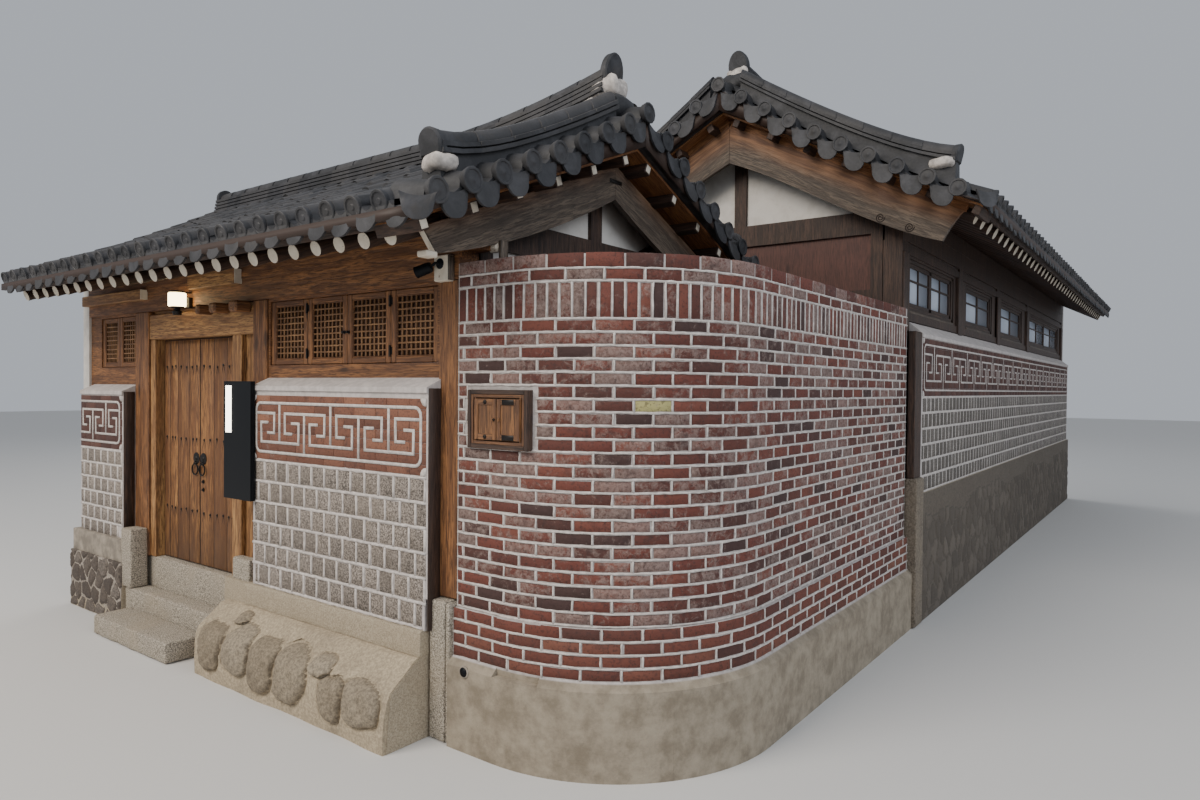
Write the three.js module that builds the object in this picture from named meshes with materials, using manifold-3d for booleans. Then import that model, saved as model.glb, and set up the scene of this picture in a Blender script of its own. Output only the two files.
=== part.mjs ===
// Corner house of the hanok kind: a low gate wing along the front street, a side wing
// along the side street, and a rounded brick wall that closes the yard between them.
// Millimetres, +Z up. Site frame: X runs right along the front street, Y runs back along
// the side street, z = 0 is the lowest ground, and x = y = 0 is the outer corner of the
// gate wing's corner post. The whole house is moved at the end so that its origin is the
// middle of its footprint at ground level.
import * as THREE from 'three';
import Module from 'manifold-3d';
import { mergeVertices } from 'three/addons/utils/BufferGeometryUtils.js';

const wasm = await Module();
wasm.setup();

// Driving dimensions

const GAP = 0.3;              // clearance where sloping or cut faces meet
const FLOOR_A = 545;          // gate wing: top of its stone platform
const FLOOR_B = 1600;         // side wing: built floor on its platform
const POST = 160;             // width of a timber post
const WALL = 120;             // thickness of a timber framed wall
const WALL_IN = 20;           // how far that wall stands back from the posts' faces
const PARTY = 120;            // thickness of a plain party wall

// Both wings are drawn in a wing frame: u along the ridge, positive out past the free
// gable, v across the ridge, w up. u = 0 is the outer face of the gable wall.
const GATE = {
  toSite: new THREE.Matrix4().set(1, 0, 0, 0, 0, 1, 0, 1250, 0, 0, 1, 0, 0, 0, 0, 1),
  name: 'gate_wing', length: 4870, half: 1250, eave: 1870, floor: FLOOR_A,
  board: 150, lookout: 320, verge: 400,
  slope: 0.41, bedTop: 3497, ridgeTile: 3760, eaveTile: 2880, sag: 45,
  boardLow: [[0, 3190], [600, 2915], [1160, 2717], [1550, 2621]], boardEnd: 1640,
  rafterPitch: 250, rafterR: 45, rafterEnd: 1760, lookoutPitch: 330,
  ridgeTop: 3885, ridgeFrom: -4760, ridgeTo: 110, ridgeTip: 4150,
  hipFrom: 130, hipTo: 1610, hipRise: 165, hipU: 180,
  purlinBottom: 2700, purlinOut: 109,
};
const SIDE = {
  toSite: new THREE.Matrix4().set(0, 1, 0, -190, -1, 0, 0, 3730, 0, 0, 1, 0, 0, 0, 0, 1),
  name: 'side_wing', length: 10170, half: 1480, eave: 2190, floor: FLOOR_B,
  board: 230, lookout: 360, verge: 450,
  slope: 0.51, bedTop: 4423, ridgeTile: 4740, eaveTile: 3460, sag: 60,
  boardLow: [[0, 4000], [700, 3655], [1300, 3330], [1840, 3110]], boardEnd: 1990,
  rafterPitch: 250, rafterR: 48, rafterEnd: 2060, lookoutPitch: 330,
  ridgeTop: 4900, ridgeFrom: -10170, ridgeTo: 60, ridgeTip: 5060,
  hipFrom: 150, hipTo: 1950, hipRise: 165, hipU: 260,
  purlinBottom: 3360, purlinOut: 189,
};
const TILE_BED = 48;          // roof boards and clay over the rafters
const RIDGE_W = 220;          // thickness of the main ridge
const ROW = 205;              // one row of cover tiles to the next
const HOLLOW = 85;            // depth of the hollows between the rows
const COVER = [[-56, 1], [-32, 0], [32, 0], [56, 1]]; // round row in three facets: offset, share of HOLLOW
const SLOPE_STEPS = 6;        // straight lengths that make up the hollow curve of a slope
const HIP_W = 180;            // thickness of a descending ridge

// Gate wing front, in site x
const CORNER_POST = [-160, 0];
const GATE_POST_R = [-2060, -1890];
const GATE_POST_L = [-3850, -3620];
const DOOR = { x0: -3540, x1: -2365, z0: 545, z1: 2310, y0: 90, y1: 126 };
const LEAF = { edge: 14, meet: 6, top: 6, bottom: 8, pinR: 15, pinIn: 18, pinDeep: 16, batten: 24, battenIn: 100 };
const PIN_HOLE = 1.2;         // how much wider a pivot hole is than its pin
const LINTEL_TOP = 2520;
const STOOP = [-3762, -2240]; // the steps and the threshold stone lie between these
const FRONT_BEAM = [2540, 2700];
const WINDOW_R = { x0: -1870, x1: -190, z0: 2085, z1: 2520, sashes: 4 };
const WINDOW_L = { x0: -4540, x1: -3870, z0: 2090, z1: 2520, sashes: 2 };
const PANEL_FACE = -90;
const PANEL_R = { x0: -1890, x1: -140, z0: 600, z1: 1945 };
const PANEL_L = { x0: -4680, x1: -3855, z0: 640, z1: 1890 };
const CAP_RISE = 55;          // the sloped cap of a masonry panel
const CAP_OUT = 12;           // how far the cap stands out
const CAP_EDGE = 30;          // height of the cap's front edge
const FOOT_STONE = { x0: -160, x1: 0, y0: -60, y1: 160, top: 780 };

// Stone base of the gate wing: outlines in (y, z), and its steps
const APRON = [[-340, 0], [0, 0], [0, 600], [-108, 600], [-112, 450], [-150, 430], [-310, 310]];
const RUBBLE = [[-150, 0], [0, 0], [0, 640], [-100, 640], [-125, 560]];
const CHEEK = { x1: -2150, y0: -100, y1: 10, top: 600 };
const THRESHOLD = { y0: 30, y1: 200 };
const UPPER_STEP = { y0: -120, top: 300 };
const LOWER_STEP = { x0: -3640, x1: -2470, y0: -400, top: 150 };

// What hangs at the gate: a lantern, three peg heads over the lintel and a bare entry panel
const LANTERN = { x: -2930, y: -105, r: 82, z0: 2560, z1: 2690, baseR: 60, baseZ: 2545, armX: 30, arm: [2600, 2660] };
const PEGS = { x: [-2665, -2400, -2180], half: 45, y0: -120, y1: -20, z0: 2575, z1: 2640 };
const PEG_RAIL = { x0: -2960, x1: -2130, y: -28, z: [2605, 2630] };
const ENTRY_PANEL = { x0: -2190, x1: -1850, y0: -135, y1: -103, z0: 1167, z1: 1975 };
const ENTRY_BOX = { x0: -2050, x1: -1900, z0: 1250, z1: 1900 };

// Courtyard side of the gate wing, in site x
const REAR_POSTS = [-3700, -1975];
const REAR_DOOR = { x0: -3560, x1: -2115, top: 2310 };
const REAR_SHEET = { t: 20, z0: 1500, z1: 2530, bridge: 2440 };
const BATTENS = [760, 1380, 2060]; // rails on the back of a gate leaf, z of each lower edge
const BATTEN_HIGH = 90;

// Brick corner wall
const BRICK = { x: 330, r: 1000, t: 200, top: 2620, ledge: 750, plinth: 28, brickFoot: 490,
  foot: 70, yEnd: 3730 };
const HATCH = { x0: 95, x1: 524, z0: 1624, z1: 1936, depth: 120, frame: 42, proud: 24,
  leafT: 22, leafY: -20, pinIn: 11.5, pinY: -15, pinR: 4 };

// Side wing street front, in site y
const SIDE_POSTS = [3730, 5740, 7690, 9880, 13740];
const SIDE_WINDOWS = [[3950, 5560], [6120, 7480], [8060, 9600], [10260, 13360]];
const SIDE_SASHES = [2, 1, 1, 2];
const SIDE_WIN_Z = [2630, 3080];
const SIDE_PANEL = { y0: 3950, y1: 13700, x: 1392, z0: 1085, z1: 2430 };
const SIDE_FACE = 1290;       // site x of the side wing's street face
const COURT_FACE = -1670;     // site x of its courtyard face
const SIDE_POST_IN = 4;       // how far its posts stand back from those faces

const COLOURS = {
  stone: ['#a89c88', 0.9], timber: ['#7a4d2a', 0.75], oldTimber: ['#5a4636', 0.8],
  plaster: ['#d9d6cf', 0.9], brick: ['#7c4038', 0.9], block: ['#a79b8d', 0.9],
  tile: ['#2c2e33', 0.7], glass: ['#9fb2c6', 0.15], paper: ['#cfc2a4', 0.8],
  iron: ['#26231f', 0.5], lamp: ['#f4e2b8', 0.4],
};

const house = new THREE.Group();

// Small helpers

function material(kind) {
  const [color, roughness] = COLOURS[kind];
  return new THREE.MeshStandardMaterial({ color, roughness, metalness: kind === 'iron' ? 0.6 : 0 });
}

function add(name, geometry, kind) {
  const mesh = new THREE.Mesh(geometry, material(kind));
  mesh.name = name;
  house.add(mesh);
  return mesh;
}

function box(x0, x1, y0, y1, z0, z1) {
  const g = new THREE.BoxGeometry(x1 - x0, y1 - y0, z1 - z0);
  return g.translate((x0 + x1) / 2, (y0 + y1) / 2, (z0 + z1) / 2);
}

function outline(points) {
  return new THREE.Shape(points.map(([a, b]) => new THREE.Vector2(a, b)));
}

function extrude(points, depth) {
  return new THREE.ExtrudeGeometry(outline(points), { depth, bevelEnabled: false, steps: 1 });
}

// A prism whose outline lies in (y, z) and runs from x0 to x1
function prismX(points, x0, x1) {
  const axes = new THREE.Matrix4().set(0, 0, 1, x0, 1, 0, 0, 0, 0, 1, 0, 0, 0, 0, 0, 1);
  return extrude(points, x1 - x0).applyMatrix4(axes);
}

// A prism whose outline lies in (x, z) and runs from y0 to y1
function prismY(points, y0, y1) {
  const axes = new THREE.Matrix4().set(1, 0, 0, 0, 0, 0, -1, y1, 0, 1, 0, 0, 0, 0, 0, 1);
  return extrude(points, y1 - y0).applyMatrix4(axes);
}

function upright(points, z0, z1) {
  return extrude(points, z1 - z0).translate(0, 0, z0);
}

function drum(x, y, z0, z1, r, sides = 12) {
  const g = new THREE.CylinderGeometry(r, r, z1 - z0, sides);
  return g.rotateX(Math.PI / 2).translate(x, y, (z0 + z1) / 2);
}

function manifold(geometry) {
  const g = geometry.clone();
  for (const name of ['normal', 'uv', 'uv2']) g.deleteAttribute(name);
  const m = mergeVertices(g, 1e-3);
  return new wasm.Manifold(new wasm.Mesh({
    numProp: 3,
    vertProperties: new Float32Array(m.attributes.position.array),
    triVerts: new Uint32Array(m.index.array),
  }));
}

// The solid's mesh, without the empty slivers that flush faces leave when joined
function geometryOf(solid) {
  const bodies = solid.decompose().sort((a, b) => b.volume() - a.volume());
  const real = bodies.filter(body => body.volume() > 1);
  const mesh = (real.length === 1 ? real[0] : solid).getMesh();
  const g = new THREE.BufferGeometry();
  g.setAttribute('position', new THREE.BufferAttribute(new Float32Array(mesh.vertProperties), 3));
  g.setIndex(new THREE.BufferAttribute(new Uint32Array(mesh.triVerts), 1));
  g.computeVertexNormals();
  return g;
}

function join(parts, cuts = []) {
  let solid = manifold(parts[0]);
  for (const part of parts.slice(1)) solid = solid.add(manifold(part));
  for (const tool of cuts) solid = solid.subtract(manifold(tool));
  return geometryOf(solid);
}

// Roof lines of a wing, all as w at a distance v from the ridge

const bedLine = (wing, v) => wing.bedTop - wing.slope * Math.abs(v);

function tileLine(wing, v) {
  const s = Math.abs(v) / wing.eave;
  return wing.ridgeTile + (wing.eaveTile - wing.ridgeTile) * s - 4 * wing.sag * s * (1 - s);
}

// Points of the tile line on one side of the ridge, side = -1 or 1
function tilePoints(wing, side, lift = 0) {
  return Array.from({ length: SLOPE_STEPS + 1 }, (_, i) => {
    const v = wing.eave * i / SLOPE_STEPS;
    return [side * v, tileLine(wing, v) + lift];
  });
}

// Along the ridge, the edges of the tile rows: [u, depth below the tile line], then the level verge
function rowEdges(wing) {
  const [u0, u1] = [-wing.length, wing.hipU + 40];
  const rows = Math.round((u1 - u0) / ROW);
  const pitch = (u1 - u0) / rows;
  const edges = [[u0, HOLLOW]];
  for (let i = 0; i < rows; i += 1) {
    for (const [offset, share] of COVER) edges.push([u0 + pitch * (i + 0.5) + offset, share * HOLLOW]);
  }
  edges.push([u1 - 5, HOLLOW], [u1, 0], [wing.verge, 0]);
  return edges;
}

// One tiled slope: straight below on the roof boards, rows of round tiles down a hollow curve above
function roofSlope(wing, side, name) {
  const edges = rowEdges(wing);
  const line = tilePoints(wing, side);
  const columns = line.length + 2;
  const points = [];
  for (const [u, depth] of edges) {
    points.push([u, 0, wing.bedTop], ...line.map(([v, w]) => [u, v, w - depth]),
      [u, side * wing.eave, bedLine(wing, wing.eave)]);
  }
  const index = [];
  for (let i = 0; i + 1 < edges.length; i += 1) {
    for (let j = 0; j < columns; j += 1) {
      const [a, b] = [i * columns + j, i * columns + (j + 1) % columns];
      index.push(a, b, b + columns, a, b + columns, a + columns);
    }
  }
  for (const [start, turn] of [[0, side], [(edges.length - 1) * columns, -side]]) {
    const section = points.slice(start, start + columns).map(([, v, w]) => new THREE.Vector2(v, w));
    for (const [a, b, c] of THREE.ShapeUtils.triangulateShape(section, [])) {
      index.push(start + a, start + (turn > 0 ? b : c), start + (turn > 0 ? c : b));
    }
  }
  const body = new THREE.BufferGeometry();
  body.setAttribute('position', new THREE.Float32BufferAttribute(points.flat(), 3));
  body.setIndex(index);
  add(name, geometryOf(oriented(body)).applyMatrix4(wing.toSite), 'tile');
}

// Rafters on both slopes with the ridge purlin below and the roof boards above them
function rafters(wing) {
  const top = wing.eave - 60;
  const low = v => bedLine(wing, v) - TILE_BED;
  const boards = prismX([[-top, low(top)], [0, low(0)], [top, low(top)],
    [top, bedLine(wing, top) - GAP], [0, wing.bedTop - GAP], [-top, bedLine(wing, top) - GAP]],
  PARTY - wing.length + GAP, -GAP);
  const centre = v => low(v) - wing.rafterR * Math.hypot(1, wing.slope) + 4;
  const parts = [boards, box(PARTY - wing.length + GAP, -GAP, -80, 80, centre(0) - 215, centre(0))];
  const from = PARTY - wing.length + 110;
  const count = Math.floor((-170 - from) / wing.rafterPitch);
  for (let i = 0; i <= count; i += 1) {
    for (const side of [-1, 1]) {
      parts.push(rafter(wing, from + (-170 - from) * i / count, side, centre));
    }
  }
  add(`${wing.name}_rafters`, join(parts).applyMatrix4(wing.toSite), 'timber');
}

// One round rafter from the ridge purlin down to its end under the eave
function rafter(wing, u, side, centre) {
  const v0 = 50;
  const v1 = wing.rafterEnd;
  const run = new THREE.Vector3(0, side * (v1 - v0), centre(v1) - centre(v0));
  const g = new THREE.CylinderGeometry(wing.rafterR, wing.rafterR, run.length(), 8);
  const turn = new THREE.Quaternion().setFromUnitVectors(new THREE.Vector3(0, 1, 0), run.clone().normalize());
  const middle = new THREE.Vector3(u, side * (v0 + v1) / 2, centre((v0 + v1) / 2));
  return g.applyQuaternion(turn).translate(middle.x, middle.y, middle.z);
}

// The raised main ridge, swept up to its end tile over the free gable
function mainRidge(wing) {
  const start = wing.ridgeTo - 1750;
  const sweep = u => wing.ridgeTop + (wing.ridgeTip - 70 - wing.ridgeTop) * ((u - start) / (wing.ridgeTo - start)) ** 2;
  const curve = Array.from({ length: 9 }, (_, i) => start + (wing.ridgeTo - start) * i / 8);
  const points = [[wing.ridgeFrom, wing.ridgeTile - 200], [wing.ridgeTo, wing.ridgeTile - 200],
    [wing.ridgeTo, wing.ridgeTip], [wing.ridgeTo - 60, wing.ridgeTip - 12],
    ...curve.slice(0, -1).reverse().map(u => [u, sweep(u)]), [wing.ridgeFrom, wing.ridgeTop]];
  return prismY(points, -RIDGE_W / 2, RIDGE_W / 2);
}

// A descending ridge down one slope, at u = hipU, with a raised end
function hipRidge(wing, side) {
  const steps = 8;
  const top = Array.from({ length: steps + 1 }, (_, i) => {
    const v = wing.hipFrom + (wing.hipTo - wing.hipFrom) * i / steps;
    const kick = 75 * (i / steps) ** 6;
    return [side * v, tileLine(wing, v) + wing.hipRise + kick];
  });
  const inner = side * 60;
  const points = [[inner, tileLine(wing, 60) + wing.hipRise], ...top,
    [side * wing.hipTo, tileLine(wing, wing.hipTo) - 100], [inner, tileLine(wing, 60) - 100]];
  return prismX(points, wing.hipU - HIP_W / 2, wing.hipU + HIP_W / 2);
}

function ridges(wing) {
  const under = [[0, wing.bedTop - 500], ...tilePoints(wing, 1, GAP), [wing.eave, 0]];
  const left = [[0, wing.bedTop - 500], [-wing.eave, 0], ...tilePoints(wing, -1, GAP).reverse()];
  const parts = [mainRidge(wing), hipRidge(wing, -1), hipRidge(wing, 1),
    box(wing.ridgeTo - 200, wing.hipU + HIP_W / 2, -110, 110, wing.ridgeTile - 200, wing.ridgeTile + wing.hipRise)];
  const cuts = [prismX(under, -wing.length - 10, wing.verge + 10), prismX(left, -wing.length - 10, wing.verge + 10)];
  add(`${wing.name}_ridges`, join(parts, cuts).applyMatrix4(wing.toSite), 'tile');
}

// Bargeboards, the short square lookouts behind them and the boards over those
function vergeTimbers(wing) {
  const low = v => bedLine(wing, v) - 20;
  const end = wing.eave - 40;
  const soffit = prismX([[-end, low(end)], [0, low(0)], [end, low(end)],
    [end, bedLine(wing, end) - GAP], [0, wing.bedTop - GAP], [-end, bedLine(wing, end) - GAP]],
  GAP, wing.lookout);
  const parts = [soffit, bargeboards(wing)];
  const count = Math.floor((end - 160) / wing.lookoutPitch);
  for (let i = 0; i <= count; i += 1) {
    const v = 130 + wing.lookoutPitch * i;
    for (const side of [-1, 1]) {
      const s = 30;
      const square = [[side * (v - s), low(v - s) + 5], [side * (v + s), low(v + s) + 5],
        [side * (v + s), low(v + s) - 65], [side * (v - s), low(v - s) - 65]];
      parts.push(prismX(square, GAP, wing.lookout));
    }
  }
  add(`${wing.name}_verge_timbers`, join(parts).applyMatrix4(wing.toSite), 'oldTimber');
}

// The pair of bargeboards meeting at the apex, hollow curved below, as one outline
function bargeboards(wing) {
  const top = v => bedLine(wing, v) - 84;
  const low = wing.boardLow.slice(1);
  const points = [[-wing.boardEnd, top(wing.boardEnd)],
    ...low.map(([v, w]) => [-v, w]).reverse(), wing.boardLow[0], ...low,
    [wing.boardEnd, top(wing.boardEnd)], [0, top(0)]];
  return join([prismX(points, wing.board - 40, wing.board),
    box(wing.board - 40, wing.board, -70, 70, wing.boardLow[0][1] + 60, bedLine(wing, 70) - 10)]);
}

// Wall plate over one long wall and the purlin that carries the rafters there
function eavesBeam(wing, side, beamZ) {
  const rafterLow = v => bedLine(wing, v) - TILE_BED - 2 * wing.rafterR * Math.hypot(1, wing.slope) + 4 - GAP;
  const v0 = wing.half + 5;
  const v1 = wing.half - 165;
  const purlin = prismX([[side * v0, wing.purlinBottom], [side * v1, wing.purlinBottom],
    [side * v1, rafterLow(v1)], [side * v0, rafterLow(v0)]], PARTY - wing.length, wing.purlinOut);
  const plate = [side * (wing.half - 150), side * wing.half].sort((a, b) => a - b);
  const beam = box(PARTY - wing.length, 0, plate[0], plate[1], beamZ, wing.purlinBottom + 5);
  return join([purlin, beam]).applyMatrix4(wing.toSite);
}

// The free gable: a plastered wall under the roof boards, notched for the ridge purlin
function gableWall(wing, name, kind) {
  const edge = wing.half - 166;
  const top = v => bedLine(wing, v) - GAP;
  const wall = prismX([[-edge, wing.floor], [edge, wing.floor], [edge, top(edge)], [0, top(0)], [-edge, top(edge)]],
    -90, -30);
  const boards = prismX([[-2000, 0], [2000, 0], [2000, top(2000) - TILE_BED], [0, top(0) - TILE_BED],
    [-2000, top(2000) - TILE_BED]], -90, -30);
  const solid = manifold(wall).intersect(manifold(boards)).subtract(manifold(ridgePurlinSlot(wing)));
  add(name, geometryOf(solid).applyMatrix4(wing.toSite), kind);
}

function ridgePurlinSlot(wing) {
  const centre = bedLine(wing, 0) - TILE_BED - wing.rafterR * Math.hypot(1, wing.slope) + 4;
  return box(-200, 10, -80 - GAP, 80 + GAP, centre - 215 - GAP, wing.bedTop);
}

// Timber framing that shows on the free gable: tie beam, king post and struts
function gableFrame(wing, tieZ, sillZ, struts) {
  const edge = wing.half - 166;
  const top = v => bedLine(wing, v) - TILE_BED - 2;
  const tie = box(-30 + GAP, -2, -edge, edge, tieZ, tieZ + 190);
  const king = box(-30 + GAP, -2, -60, 60, tieZ + 190, top(60));
  const sill = box(-30 + GAP, -2, -edge, edge, sillZ, sillZ + 100);
  const legs = [-1, 1].map(side => box(-30 + GAP, -2, Math.min(side * edge, side * (edge - 100)),
    Math.max(side * edge, side * (edge - 100)), sillZ, tieZ + 190));
  const rails = struts.map(([v0, w0, v1, w1]) => prismX([[v0 - 45, w0], [v0 + 45, w0], [v1 + 45, w1], [v1 - 45, w1]],
    -30 + GAP, -2));
  const solid = join([tie, king, sill, ...legs, ...rails], [ridgePurlinSlot(wing)]);
  add(`${wing.name}_gable_frame`, solid.applyMatrix4(wing.toSite), 'oldTimber');
}

// The far end of a wing, closed by a plain wall up to the roof
function partyWall(wing, name, kind) {
  const top = v => bedLine(wing, v) - GAP;
  const edge = wing.half;
  const wall = prismX([[-edge, 0], [edge, 0], [edge, top(edge)], [0, top(0)], [-edge, top(edge)]],
    -wing.length, PARTY - wing.length);
  add(name, wall.applyMatrix4(wing.toSite), kind);
}

// Gate wing

function gatePlatform() {
  const inner = PARTY - GATE.length;
  const apron = prismX(APRON, CHEEK.x1 - 10, FOOT_STONE.x0 - 12);
  const rubble = prismX(RUBBLE, inner, STOOP[0]);
  const cheek = box(STOOP[1], CHEEK.x1, CHEEK.y0, CHEEK.y1, 0, CHEEK.top);
  const stoop = box(...STOOP, -200, THRESHOLD.y1 + GAP, -10, 2000);
  const body = box(inner, 0, 0, 2 * GATE.half, 0, FLOOR_A);
  const foot = box(FOOT_STONE.x0 - GAP, 10, -400, FOOT_STONE.y1 + GAP, -10, 900);
  const walls = box(GATE_POST_R[0], 10, 0, 400, FLOOR_A, 900);
  const wallsLeft = box(inner - 10, STOOP[0] + 1, 0, 400, FLOOR_A, 900);
  add('gate_wing_platform', join([body, apron, rubble, cheek], [stoop, foot, walls, wallsLeft]), 'stone');
}

function gateSteps() {
  const pinX = [DOOR.x0 + LEAF.edge + LEAF.pinIn, DOOR.x1 - LEAF.edge - LEAF.pinIn];
  const pinY = (DOOR.y0 + DOOR.y1) / 2;
  const stone = join([box(STOOP[0] + GAP, STOOP[1] - GAP, THRESHOLD.y0, THRESHOLD.y1, 0, DOOR.z0)],
    pinX.map(x => drum(x, pinY, DOOR.z0 - LEAF.pinDeep, DOOR.z0 + 20, LEAF.pinR + PIN_HOLE)));
  add('threshold_stone', stone, 'stone');
  add('upper_step', box(STOOP[0] + GAP, STOOP[1] - GAP, UPPER_STEP.y0, THRESHOLD.y0 - GAP, 0, UPPER_STEP.top), 'stone');
  const low = LOWER_STEP;
  add('lower_step', box(low.x0, low.x1, low.y0, UPPER_STEP.y0 - GAP, 0, low.top), 'stone');
  add('corner_footing_stone', box(FOOT_STONE.x0, FOOT_STONE.x1, FOOT_STONE.y0, FOOT_STONE.y1, 0, FOOT_STONE.top), 'stone');
}

function gatePosts() {
  const [low, high] = [FLOOR_A, FRONT_BEAM[0]];
  add('corner_post', box(...CORNER_POST, 0, POST, FOOT_STONE.top, high), 'timber');
  add('gate_post_right', box(...GATE_POST_R, 0, POST, low, high), 'timber');
  add('gate_post_left', box(...GATE_POST_L, 0, POST, low, high), 'timber');
  add('gate_wing_front_beam', eavesBeam(GATE, -1, FRONT_BEAM[0]), 'timber');
}

// Masonry facing panel with its sloped cap, standing in front of the timber wall
function facingPanel(name, p) {
  const points = [[WALL_IN, p.z0], [WALL_IN, p.z1 + CAP_RISE], [PANEL_FACE - CAP_OUT, p.z1],
    [PANEL_FACE - CAP_OUT, p.z1 - CAP_EDGE], [PANEL_FACE, p.z1 - CAP_EDGE - 4], [PANEL_FACE, p.z0]];
  const stone = box(FOOT_STONE.x0, FOOT_STONE.x1, -200, 30, 0, FOOT_STONE.top);
  const post = box(...CORNER_POST, 0, 30, 0, FRONT_BEAM[0]);
  add(name, join([prismX(points, p.x0, p.x1)], [stone, post]), 'block');
}

function frontWall(name, x0, x1, w) {
  const wall = join([box(x0, x1, WALL_IN, WALL_IN + WALL, FLOOR_A, FRONT_BEAM[0])], [box(w.x0, w.x1, 0, 200, w.z0, w.z1)]);
  add(name, wall, 'timber');
}

// A row of sashes with a thin sheet behind the bars
function sashRow(name, w, y0, y1, kind) {
  const stile = 34;
  const outer = box(w.x0 + GAP, w.x1 - GAP, y0, y1, w.z0 + GAP, w.z1 - GAP);
  const width = (w.x1 - w.x0) / w.sashes;
  const sheet = 8;
  const lights = [];
  for (let i = 0; i < w.sashes; i += 1) {
    const a = w.x0 + width * i + stile;
    const b = w.x0 + width * (i + 1) - stile;
    lights.push(box(a, b, y0 - 10, (y0 + y1 - sheet) / 2, w.z0 + stile, w.z1 - stile));
    lights.push(box(a, b, (y0 + y1 + sheet) / 2, y1 + 10, w.z0 + stile, w.z1 - stile));
  }
  return add(name, join([outer], lights), kind);
}

function gateFrame() {
  const left = box(GATE_POST_L[1] + GAP, DOOR.x0, 20, 150, DOOR.z0 + GAP, LINTEL_TOP);
  const right = box(DOOR.x1, DOOR.x1 + 120, 20, 150, DOOR.z0 + GAP, LINTEL_TOP);
  const filler = box(DOOR.x1 + 100, GATE_POST_R[0] - GAP, 60, 120, DOOR.z0 + GAP, FRONT_BEAM[0] - GAP);
  const head = box(GATE_POST_L[1] + GAP, GATE_POST_R[0] - GAP, 10, 155, DOOR.z1, FRONT_BEAM[0] - GAP);
  const pinY = (DOOR.y0 + DOOR.y1) / 2;
  const holes = [DOOR.x0 + LEAF.edge + LEAF.pinIn, DOOR.x1 - LEAF.edge - LEAF.pinIn]
    .map(x => drum(x, pinY, DOOR.z1 - 5, DOOR.z1 + LEAF.pinDeep + 4, LEAF.pinR + PIN_HOLE));
  add('gate_frame', join([left, right, filler, head], holes), 'timber');
}

function gateLeaf(name, side) {
  const middle = (DOOR.x0 + DOOR.x1) / 2;
  const outer = side < 0 ? DOOR.x0 + LEAF.edge : DOOR.x1 - LEAF.edge;
  const inner = middle + side * LEAF.meet / 2;
  const [a, b] = [Math.min(outer, inner), Math.max(outer, inner)];
  const [z0, z1] = [DOOR.z0 + LEAF.bottom, DOOR.z1 - LEAF.top];
  const pinX = outer - side * LEAF.pinIn;
  const pinY = (DOOR.y0 + DOOR.y1) / 2;
  const parts = [box(a, b, DOOR.y0, DOOR.y1, z0, z1),
    drum(pinX, pinY, DOOR.z0 - LEAF.pinDeep + GAP, z0 + 5, LEAF.pinR),
    drum(pinX, pinY, z1 - 5, DOOR.z1 + LEAF.pinDeep, LEAF.pinR)];
  for (const z of BATTENS) {
    parts.push(box(a + LEAF.battenIn, b - LEAF.battenIn, DOOR.y1 - 2, DOOR.y1 + LEAF.batten, z, z + BATTEN_HIGH));
  }
  add(name, join(parts), 'timber');
}

function gateFittings() {
  const [l, p, e, b] = [LANTERN, PEGS, ENTRY_PANEL, ENTRY_BOX];
  const lights = [drum(l.x, l.y, l.z0, l.z1, l.r), drum(l.x, l.y, l.baseZ, l.z0 + 5, l.baseR),
    box(l.x - l.armX, l.x + l.armX, l.y + 15, 0, ...l.arm), box(PEG_RAIL.x0, PEG_RAIL.x1, PEG_RAIL.y, 0, ...PEG_RAIL.z)];
  for (const x of p.x) lights.push(box(x - p.half, x + p.half, p.y0, p.y1, p.z0, p.z1));
  add('gate_lights', join(lights), 'lamp');
  add('entry_panel', join([box(e.x0, e.x1, e.y0, e.y1, e.z0, e.z1), box(b.x0, b.x1, e.y1 - 7, 0, b.z0, b.z1)]), 'iron');
}

// Courtyard side of the gate wing: posts, beam line and openings like the front
function gateRear() {
  const back = 2 * GATE.half;
  const [y0, y1] = [back - WALL_IN - WALL, back - WALL_IN];
  const inner = PARTY - GATE.length;
  const parts = [box(inner, 0, y0, y1, FLOOR_A, FRONT_BEAM[0] + 5), eavesBeam(GATE, 1, FRONT_BEAM[0])];
  for (const x of [inner, ...REAR_POSTS, 0]) {
    const a = Math.min(Math.max(x - POST / 2, inner), -POST);
    parts.push(box(a, a + POST, y0, back - SIDE_POST_IN, FLOOR_A, FRONT_BEAM[0] + 5));
  }
  const cuts = [box(REAR_DOOR.x0, REAR_DOOR.x1, y0 - 50, y1 + 50, FLOOR_A - 10, REAR_DOOR.top)];
  for (const w of [WINDOW_R, WINDOW_L]) cuts.push(box(w.x0 + 40, w.x1 - 40, y0 - 50, y1 + 50, w.z0 - 500, w.z1 - 40));
  add('gate_wing_rear_wall', join(parts, cuts), 'timber');
  const sheet = REAR_SHEET;
  const pane = (x0, x1, z0) => box(x0, x1, y0 - sheet.t, y0, z0, sheet.z1);
  const end = CORNER_POST[0] - 5;
  const panes = [pane(inner + 100, REAR_DOOR.x0 - 40, sheet.z0), pane(REAR_DOOR.x1 + 35, end, sheet.z0),
    pane(inner + 100, end, sheet.bridge)];
  add('gate_wing_rear_glass', join(panes), 'glass');
}

// Brick corner wall

// Outline of the wall's section at a point of its run, as [outward offset, z]
function brickSection() {
  return [[-BRICK.t, 0], [BRICK.foot, 0], [BRICK.foot, BRICK.brickFoot - 40], [BRICK.plinth, BRICK.brickFoot],
    [BRICK.plinth, BRICK.ledge - 10], [0, BRICK.ledge], [0, BRICK.top], [-BRICK.t, BRICK.top]];
}

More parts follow.
